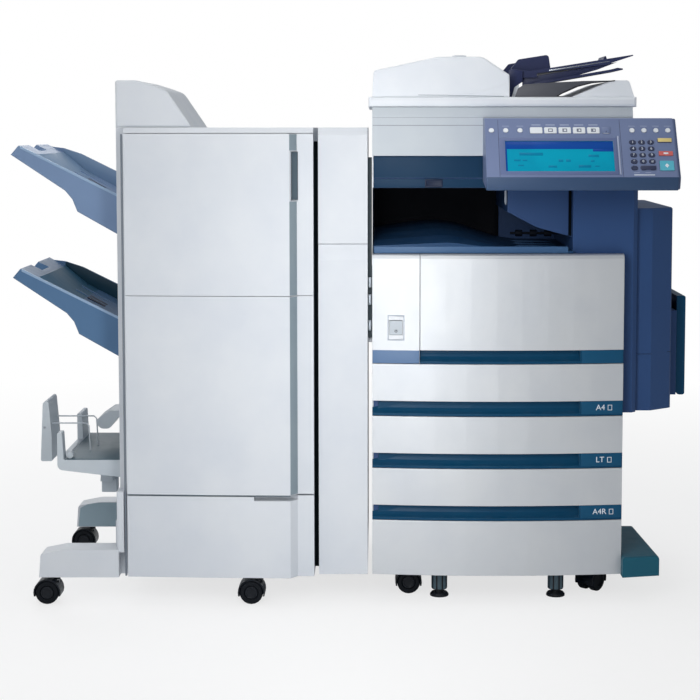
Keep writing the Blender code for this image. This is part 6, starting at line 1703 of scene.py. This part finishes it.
@dataclass
class Finisher(Assembly):
    """Painted-shade strips on the chamfers, the grip, the groove, the gaps and the seam, and docking hardware
    of the finisher and the punch unit.

    Attributes:
        strip: Width of the set-back strip at the doors' right.
        chamfer: Width and depth of the doors' chamfer.
        handle: Lowest and highest level of the upper door's grip.
        sweep: How far the doors' left edge lies behind their right one.
        leg_width: Depth of each leg.
        leg_height: Height of the skin on the rear leg.
        leg_toe: Slope of that skin over the leg's left end, from the leg's lower left corner.
        groove: Left and right side of the strip of painted shade in the groove, from the frame's left side.
        gap_shade: Left and right side of the strip of painted shade beside the punch unit, from the frame's
            right side.
        dock: Lower and upper end of the dock plate.
        catches: Levels of the dock catches.
    """

    strip: float = 0.036
    chamfer: Spot = (0.015, 0.018)
    handle: Spot = (0.8915, 1.0015)
    sweep: float = 0.015
    leg_width: float = 0.060
    leg_height: float = 0.0605
    leg_toe: tuple[Spot, ...] = ((0.056, 0.0605), (0.026, 0.056), (0.009, 0.047))
    groove: Spot = (0.0130, 0.0172)
    gap_shade: Spot = (0.0006, 0.0096)
    dock: Spot = (0.588, 0.986)
    catches: tuple[float, ...] = (0.605, 0.662, 0.700)

    def build(self) -> None:
        """Build every piece of the finisher."""
        self.chamfers()
        self.grip()
        self.gaps()
        self.legs()
        self.docking()

    def chamfers(self) -> None:
        """Grey strips of painted shade along the doors' chamfer, left out beside the grip."""
        wide, deep = self.chamfer
        for door, body, breaks in (("finisher_upper_door", "upper_door", self.handle),
                                   ("finisher_lower_door", "lower_door", ())):
            low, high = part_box(door)
            start = Vector((high.x - self.strip - wide, low.y))
            end = Vector((high.x - self.strip, low.y + deep))
            out = Vector((deep, -wide)).normalized() * 0.0006
            plan = [start + out, end + out, end - out, start - out]
            levels = (low.z + 0.001, *breaks, high.z - 0.001)
            parts = [Bench.round_off(Bench.profile("strip", Axis.Z, plan, foot, head - foot), 0.0003)
                     for foot, head in zip(levels[::2], levels[1::2])]
            self.wear(Bench.merge(f"{body}_chamfer_strip", parts), Shop.chamfer_shade_grey, Slot.GREY, body)

    def grip(self) -> None:
        """Dark strip of painted shade inside the upper door's grip."""
        wide, deep = self.chamfer
        low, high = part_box("finisher_upper_door")
        x = high.x - self.strip - wide + 0.0035
        y = low.y + deep + 0.009
        grip_recess_shade = Bench.panel("upper_door_grip_shade", (x, y, self.handle[0] + 0.003),
                             (x + wide - 0.001, y + 0.0015, self.handle[1] - 0.003), Side.AHEAD, 0.002,
                             -0.0005)
        self.wear(grip_recess_shade, Shop.grip_shade, Slot.GREY, "upper_door", 0.0002)

    def gaps(self) -> None:
        """Dark strips of painted shade in the groove at the left, beside the punch unit and below the lower
        door.
        """
        low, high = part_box("finisher_frame")
        face = low.y + self.sweep
        left, right = self.groove
        # Grey strip of painted shade in the left groove
        groove = Bench.block("finisher_left_groove_shade", (low.x + left, face - 0.0004, low.z + 0.002),
                             (low.x + right, face + 0.003, high.z - 0.014))
        self.wear(groove, Shop.groove_painted_shade, Slot.GREY, corner=0.0004)
        left, right = self.gap_shade
        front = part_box("punch_unit")[0].y
        # Black strip of painted shade in the gap beside the punch unit
        gap_shade = Bench.panel("punch_gap_shade", (high.x + left, front + 0.008, low.z + 0.016),
                           (high.x + right, front + 0.029, high.z - 0.030), Side.AHEAD, 0.0015, -0.003)
        self.wear(gap_shade, Shop.shadow, Slot.BLACK)
        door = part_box("finisher_lower_door")[0]
        left, right = door.x + 0.001, high.x - self.strip - self.chamfer[0]
        # Dark strip of painted shade in the seam below the lower door
        plan = [(left, face - 0.0004), (right, low.y - 0.0004), (right, low.y + 0.003), (left, face + 0.003)]
        seam = Bench.profile("lower_door_seam", Axis.Z, plan, door.z - 0.0024, 0.0021)
        self.wear(seam, Shop.grip_shade, Slot.GREY, corner=0.0003)

    def legs(self) -> None:
        """Shaded skin on the rear leg, and the cover plate where the front leg meets the frame."""
        low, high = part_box("finisher_legs")
        outline = [(low.x + 0.004, low.z + 0.001), (high.x - 0.002, low.z + 0.001),
                   (high.x - 0.002, low.z + self.leg_height)]
        outline += [(low.x + x, low.z + z) for x, z in self.leg_toe]
        skin = Bench.profile("rear_leg_skin", Axis.Y, outline, high.y - self.leg_width - 0.0006, 0.001)
        self.wear(skin, Shop.leg_shade, Slot.GREY, corner=0.0003)
        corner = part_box("finisher_frame")[0]
        face = corner.y + self.sweep
        plate = Bench.panel("leg_plate_cover", (corner.x - 0.0035, face - 0.004, corner.z + 0.055),
                            (corner.x + 0.0115, face + 0.05, corner.z + 0.190), Side.AHEAD, 0.002, 0.0008)
        self.wear(plate, Shop.feeder_white, Slot.WHITE, corner=0.002)

    def docking(self) -> None:
        """Dark plate and steel catches between the punch unit and the copier."""
        low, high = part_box("punch_unit")
        foot, head = self.dock
        plate = Bench.panel("dock_plate", (high.x - 0.0088, low.y + 0.0300, foot),
                            (high.x - 0.0004, low.y + 0.0395, head), Side.AHEAD, 0.0015, -0.003)
        self.wear(plate, Shop.deep_teal, Slot.BLACK)
        for number, level in enumerate(self.catches, 1):
            catch = Bench.panel(f"dock_catch_{number}", (high.x - 0.0080, low.y + 0.0215, level),
                                (high.x - 0.0015, low.y + 0.0305, level + 0.022), Side.AHEAD, 0.0015, 0.003)
            self.wear(catch, Shop.zinc, Slot.GREY, corner=0.0006)


# Stack trays

@dataclass
class StackTrays(Assembly):
    """Floor and wall sheets, rims with a painted highlight and pads of the two stack trays; the lower tray's
    sheets are darker as painted shade.

    Attributes:
        slope: Fall of the trays toward the finisher, in degrees.
        deep: Height of the trays' right end.
        well: Depth of the floor below the rim.
        tip: Height of the trays' left end.
        wall: Thickness of the side walls.
        crown: How far the back wall stands above the rim.
        bend: Share of the tray's length, from its right end, where the floor bends.
        peak: The same for the back wall's peak.
        sheet: Thickness of the sheets.
        end: Gap between the sheets and the tray's right end.
        pad: Distance of the pad from the bend, and its length.
        pad_thick: Thickness of the pad.
    """

    slope: float = 26.5
    deep: float = 0.090
    well: float = 0.026
    tip: float = 0.029
    wall: float = 0.006
    crown: float = 0.018
    bend: float = 0.55
    peak: float = 0.6
    sheet: float = 0.0012
    end: float = 0.001
    pad: Spot = (0.03, 0.04)
    pad_thick: float = 0.003

    def build(self) -> None:
        """Line both trays."""
        self.line("upper_tray", Shop.tray_pale, Shop.tray_pale)
        # The lower tray's floor and back wall take darker copies: painted shade
        self.line("lower_tray", Shop.lower_tray_floor_shade, Shop.lower_tray_wall_shade)

    def line(self, node: str, kind: Moulded, wall: Moulded) -> None:
        """Thin sheets over a tray's floor and back wall, a rim with a painted highlight and a rubber pad.

        Args:
            node: The tray, which has the name of its body.
            kind: Finish of the floor.
            wall: Finish of the back wall.
        """
        low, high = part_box(node)
        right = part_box("finisher_frame")[0].x - 0.0003
        rise = math.tan(math.radians(self.slope))
        bend = right - (right - low.x) * self.bend
        shallow = low.x + 2 * self.tip

        def level(x: float, drop: float) -> float:
            """Level below the rim at a place along the tray."""
            return low.z + self.deep + (right - x) * rise - drop
        stop = right - self.end
        floor = [(stop, level(stop, self.well)), (bend, level(bend, self.well * 0.7)),
                 (shallow, level(shallow, 0.0))]
        top = [(x, z + self.sheet) for x, z in reversed(floor)]
        width = high.y - low.y - 2 * self.wall - 0.0016
        sheet = Bench.profile(f"{node}_floor", Axis.Y, floor + top, low.y + self.wall + 0.0008, width)
        self.wear(sheet, kind, Slot.BLUE, node, 0.0003)
        start = low.x + self.tip * 0.7
        crest = [(stop, level(stop, 0.0)), (start, level(start, 0.0))]
        outline = [(x, z - 0.0045) for x, z in crest] + [(x, z + 0.0014) for x, z in reversed(crest)]
        # Pale rim along the front wall's top edge: painted highlight
        rim = Bench.profile(f"{node}_rim", Axis.Y, outline, low.y - 0.0006, self.wall)
        self.wear(rim, Shop.rim_highlight, Slot.BLUE, node, 0.0004)
        peak = right - (right - low.x) * self.peak
        outline = [(x, z + 0.001) for x, z in floor]
        outline += [(shallow, level(shallow, -self.crown * 0.6) - 0.0005),
                    (peak, level(peak, -self.crown) - 0.0005), (stop, level(right, -self.crown) - 0.001)]
        back = Bench.profile(f"{node}_back_sheet", Axis.Y, outline, high.y - self.wall - 0.001, self.sheet)
        self.wear(back, wall, Slot.BLUE, node, 0.0003)
        along, length = self.pad
        x = bend + along
        foot, head = level(x, self.well * 0.77) + 0.001, level(x + length, self.well * 0.86) + 0.001
        outline = [(x, foot), (x + length, head), (x + length, head + self.pad_thick),
                   (x, foot + self.pad_thick)]
        pad = Bench.profile(f"{node}_pad", Axis.Y, outline, low.y + 0.14, 0.05)
        self.wear(pad, Shop.deep_navy, Slot.NAVY, node, 0.001)


# Booklet tray

@dataclass
class BookletTray(Assembly):
    """Floor sheet, roller, stop wedge, latch and stopper screw of the booklet tray.

    Attributes:
        floor: Level of the tray's floor.
        roller: Radius and length of the roller.
        wedge: Outline of the stop wedge, from the floor's right end.
        screw: Radius and height of the stopper's screw.
    """

    floor: float = 0.308
    roller: Spot = (0.0075, 0.018)
    wedge: tuple[Spot, ...] = ((-0.032, 0.001), (-0.002, 0.001), (-0.002, 0.005), (-0.026, 0.022),
                               (-0.032, 0.016))
    screw: Spot = (0.0030, 0.002)

    def build(self) -> None:
        """Build every piece of the booklet tray."""
        low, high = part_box("saddle_tray")
        sheet = Bench.panel("booklet_floor", (low.x + 0.016, low.y + 0.002, self.floor - 0.0006),
                            (high.x - 0.001, high.y - 0.002, self.floor + 0.0008), Side.UP, 0.006, 0.0006)
        self.wear(sheet, Shop.booklet_grey, Slot.GREY, corner=0.0003)
        radius, length = self.roller
        roller = Bench.drum("booklet_roller", (low.x + 0.026, low.y + 0.020, self.floor + 0.0085), radius,
                            length, Axis.Y, 28)
        Bench.push(roller, lambda middle, normal: abs(normal.y) > FACING, 0.0025, (0, 0, 0))
        self.wear(roller, Shop.grey, Slot.GREY, corner=0.001)
        outline = [(high.x + x, self.floor + z) for x, z in self.wedge]
        wedge = Bench.profile("booklet_wedge", Axis.Y, outline, low.y + 0.16, 0.03)
        self.wear(wedge, Shop.deep_teal, Slot.BLACK, corner=0.001)
        latch = Bench.panel("booklet_latch", (high.x - 0.0640, low.y + 0.090, low.z - 0.031),
                            (high.x - 0.0300, low.y + 0.125, low.z + 0.003), Side.DOWN, 0.003, 0.001)
        self.wear(latch, Shop.grey, Slot.GREY, corner=0.003)
        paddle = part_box("saddle_stopper")[0]
        radius, height = self.screw
        screw = Bench.drum("stopper_screw", (paddle.x + 0.010, paddle.y - 0.0005, paddle.z + 0.078), radius,
                           height, Axis.Y, 20)
        Bench.push(screw, Side.AHEAD.sees, 0.0012, Side.AHEAD.out(-0.0006))
        self.wear(screw, Shop.steel, Slot.GREY, "saddle_stopper")


# Casters and feet

@dataclass
class RunningGear(Assembly):
    """Hub caps of the casters and sleeves of the screw feet.

    Attributes:
        turned: The wheels that stand turned at rest, which are left bare.
        hub: Radius and thickness of a hub cap.
        hub_sunk: Depth of a hub cap's middle inside the wheel's face.
        sleeve: Radius and length of a foot's sleeve.
        sleeve_level: Height of a sleeve's middle.
    """

    turned: str = "copier_front_right_caster_wheels"
    hub: Spot = (0.0135, 0.0032)
    hub_sunk: float = 0.0012
    sleeve: Spot = (0.0180, 0.043)
    sleeve_level: float = 0.0385

    def build(self) -> None:
        """Build every piece of the running gear."""
        for node in self.dresser.nodes:
            if node.endswith("caster_wheels") and node != self.turned:
                self.hub_caps(node)
        for side in ("left", "right"):
            self.foot(f"levelling_foot_{side}")

    def hub_caps(self, node: str) -> None:
        """Dished cap on each side of a pair of wheels.

        Args:
            node: The wheels.
        """
        low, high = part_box(node)
        middle = (low + high) / 2
        body = node.replace("_caster_wheels", "_wheels")
        radius, thick = self.hub
        caps = []
        for y, side in ((low.y + self.hub_sunk, Side.AHEAD), (high.y - self.hub_sunk, Side.BEHIND)):
            cap = Bench.drum("cap", (middle.x, y, middle.z), radius, thick, Axis.Y)
            Bench.push(cap, side.sees, 0.0030, side.out(-0.0008))
            caps.append(Bench.round_off(cap, 0.0005))
        self.wear(Bench.merge(f"{body}_hub_caps", caps), Shop.caster, Slot.CASTER, body)

    def foot(self, node: str) -> None:
        """Grey eight-sided sleeve round the stem of a screw foot.

        Args:
            node: The foot, which has the name of its body.
        """
        low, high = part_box(node)
        middle = (low + high) / 2
        radius, length = self.sleeve
        sleeve = Bench.drum(f"{node}_sleeve", (middle.x, middle.y, self.sleeve_level), radius, length,
                            Axis.Z, 8)
        Bench.push(sleeve, Side.DOWN.sees, 0.003, Side.DOWN.out(0.001))
        self.wear(sleeve, Shop.foot_teal, Slot.GREY, node, 0.0008)


# Backs of copier and finisher

@dataclass
class BackPanel(Assembly):
    """Louvres and screws on the hidden backs.

    Attributes:
        louvre_count: How many louvres a column has.
        louvre_pitch: Distance between them.
        louvre: Outline of a louvre, from the back face at its lower edge.
        screw: Radius and height of the screw heads.
        cross: Half the length and half the width of their slots.
    """

    louvre_count: int = 7
    louvre_pitch: float = 0.013
    louvre: tuple[Spot, ...] = ((-0.0004, 0.0), (0.0022, 0.0), (0.0028, 0.002), (-0.0004, 0.008))
    screw: Spot = (0.0042, 0.0024)
    cross: Spot = (0.0024, 0.0004)

    def build(self) -> None:
        """Build every piece of the backs."""
        low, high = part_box("rear_cover")
        self.louvres("copier_louvres", low.x + 0.34, low.x + 0.50, high.z - 0.28, high.y)
        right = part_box("base_panel")[1].x - 0.02
        self.screws("copier_back_screws", (low.x + 0.02, low.z + 0.04), (right, high.z - 0.04), high.y)
        low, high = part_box("finisher_frame")
        self.louvres("finisher_louvres", low.x + 0.12, low.x + 0.26, low.z + 0.60, high.y)
        self.screws("finisher_back_screws", (low.x + 0.02, low.z + 0.03), (high.x - 0.02, high.z - 0.03),
                    high.y)

    def louvres(self, name: str, left: float, right: float, base: float, face: float) -> None:
        """Column of hooded louvres on a back face.

        Args:
            name: The piece's name.
            left: Left end of the louvres.
            right: Their right end.
            base: Level of the lowest one.
            face: Place of the back face.
        """
        hoods = []
        for step in range(self.louvre_count):
            outline = [(face + y, base + step * self.louvre_pitch + z) for y, z in self.louvre]
            hood = Bench.profile("hood", Axis.X, outline, left, right - left)
            hoods.append(Bench.round_off(hood, 0.0005))
        self.wear(Bench.merge(name, hoods), Shop.shade_white, Slot.WHITE)

    def screws(self, name: str, low: Spot, high: Spot, face: float) -> None:
        """Cross-head screws down both sides of a back face.

        Args:
            name: The piece's name.
            low: Place across and level of the lowest screw on one side.
            high: The same for the highest screw on the other side.
            face: Place of the back face.
        """
        radius, height = self.screw
        long, short = self.cross
        heads = []
        for x in (low[0], high[0]):
            for z in (low[1], (low[1] + high[1]) / 2, high[1]):
                head = Bench.drum("head", (x, face + 0.0004, z), radius, height, Axis.Y, 20)
                Bench.push(head, Side.BEHIND.sees, 0.0012, Side.BEHIND.out(0.0006))
                for wide, tall in ((long, short), (short, long)):
                    Bench.carve(head, Bench.block("slot", (x - wide, face + 0.0012, z - tall),
                                                  (x + wide, face + 0.004, z + tall)))
                heads.append(head)
        self.wear(Bench.merge(name, heads), Shop.zinc, Slot.GREY)


# Inside of the copier

@dataclass
class Interiors(Assembly):
    """What is seen when the lid, the drawers and the covers are open.

    Attributes:
        floors: Levels of the drawers' floors, from the top.
        plate_sides: Margin of a lift plate at the drawer's left and right.
        plate_ends: Its margin at the drawer's front and back.
        guide_inset: Distance of the side guides from the plate's left and right.
        guide_thick: Thickness of the side guides.
        guide_height: Height of the side guides above the floor.
        end_guide: Front and back end of the end guide.
        end_height: Height of the end guide above the floor.
        toner_cap: Radius and thickness of the toner bottle's cap.
        drum_cap: Radius and thickness of the drum's cap.
    """

    floors: Triple = (0.4292, 0.3130, 0.1968)
    plate_sides: Spot = (0.10, 0.06)
    plate_ends: Spot = (0.060, 0.080)
    guide_inset: float = 0.16
    guide_thick: float = 0.006
    guide_height: float = 0.052
    end_guide: Spot = (-0.02, 0.05)
    end_height: float = 0.046
    toner_cap: Spot = (0.040, 0.0042)
    drum_cap: Spot = (0.022, 0.0034)

    def build(self) -> None:
        """Build every piece of the insides."""
        self.platen()
        self.turning_cap("toner_bottle", self.toner_cap, Shop.outlet_grey, Slot.GREY)
        self.turning_cap("photo_drum", self.drum_cap, Shop.green, Slot.TEAL)
        for number, floor in enumerate(self.floors, 1):
            self.drawer(number, floor)

    def platen(self) -> None:
        """Scale strips along two sides of the glass, and the white sheet under the lid."""
        low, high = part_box("platen_glass")
        for name, start, end in (("platen_side_scale", (low.x - 0.016, low.y + 0.004),
                                  (low.x - 0.002, high.y - 0.004)),
                                 ("platen_back_scale", (low.x + 0.004, high.y + 0.002),
                                  (high.x - 0.004, high.y + 0.014))):
            scale = Bench.panel(name, (*start, high.z - 0.0012), (*end, high.z - 0.0001), Side.UP, 0.0012,
                                0.0001)
            self.wear(scale, Shop.foam, Slot.WHITE)
        margin = 0.004
        sheet = Bench.panel("platen_sheet", (low.x - margin, low.y - margin, high.z + 0.0005),
                            (high.x + margin, high.y + margin, high.z + 0.0010), Side.DOWN, margin, 0.0001)
        self.wear(sheet, Shop.foam, Slot.WHITE, "platen_lid")

    def turning_cap(self, node: str, size: Spot, kind: Moulded, slot: Slot) -> None:
        """Dished cap with a grip bar on the front end of a turning piece.

        Args:
            node: The CAD node that it turns with, which has the name of its body.
            size: Radius of the cap, and how far it stands in front of the node.
            kind: Its finish.
            slot: The record's material slot nearest to its finish.
        """
        low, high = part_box(node)
        middle = (low + high) / 2
        radius, thick = size
        cap = Bench.drum(f"{node}_cap", (middle.x, low.y - thick / 2 + 0.0004, middle.z), radius, thick,
                         Axis.Y, 40)
        Bench.push(cap, Side.AHEAD.sees, radius * 0.15, Side.AHEAD.out(-thick * 0.6))
        long, short = radius * 0.8, radius * 0.14
        bar = Bench.block("bar", (middle.x - long, low.y - thick + 0.0006, middle.z - short),
                          (middle.x + long, low.y, middle.z + short))
        parts = [Bench.round_off(cap, 0.0005), Bench.round_off(bar, 0.0006)]
        self.wear(Bench.merge(f"{node}_cap", parts), kind, slot, node)

    def drawer(self, number: int, floor: float) -> None:
        """Lift plate, side guides and end guide of a paper drawer.

        Args:
            number: The drawer's number, from the top.
            floor: Level of its floor.
        """
        body = f"drawer_{number}"
        low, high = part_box(f"{body}_cassette")
        left, right = low.x + self.plate_sides[0], high.x - self.plate_sides[1]
        front, back = low.y + self.plate_ends[0], high.y - self.plate_ends[1]
        foot = floor + 0.001
        plate = Bench.panel(f"{body}_lift_plate", (left, front, floor + 0.0004),
                            (right, back, floor + 0.0022), Side.UP, 0.012, 0.0012)
        self.wear(plate, Shop.steel, Slot.GREY, body, 0.0005)
        for name, y in (("front_guide", front + 0.012), ("back_guide", back - 0.018)):
            guide = Bench.panel(f"{body}_{name}", (left + self.guide_inset, y, foot),
                                (right - self.guide_inset, y + self.guide_thick, floor + self.guide_height),
                                Side.UP, 0.0012, 0.004)
            self.wear(guide, Shop.green, Slot.TEAL, body, 0.0010)
        start, stop = self.end_guide
        end = Bench.panel(f"{body}_end_guide", (left - 0.018, start, foot),
                          (left - 0.010, stop, floor + self.end_height), Side.UP, 0.0015, 0.004)
        self.wear(end, Shop.green, Slot.TEAL, body, 0.0012)


ASSEMBLIES: tuple[type, ...] = (ControlDesk, Feeder, CopierFronts, ExitBay, Finisher, StackTrays, BookletTray,
                                RunningGear, BackPanel, Interiors)


def main() -> None:
    """Load the frame, dress it and set the studio."""
    logging.basicConfig(level=logging.INFO, format="%(name)s: %(message)s")
    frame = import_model()
    Studio().build()
    dresser = Dresser(frame)
    dresser.dress_nodes()
    for assembly in ASSEMBLIES:
        assembly(dresser).build()
    for thing in bpy.data.objects:
        thing.select_set(False)
    bpy.context.view_layer.update()
    LOG.info("%d pieces made", len(dresser.pieces))


if __name__ == "__main__":
    main()
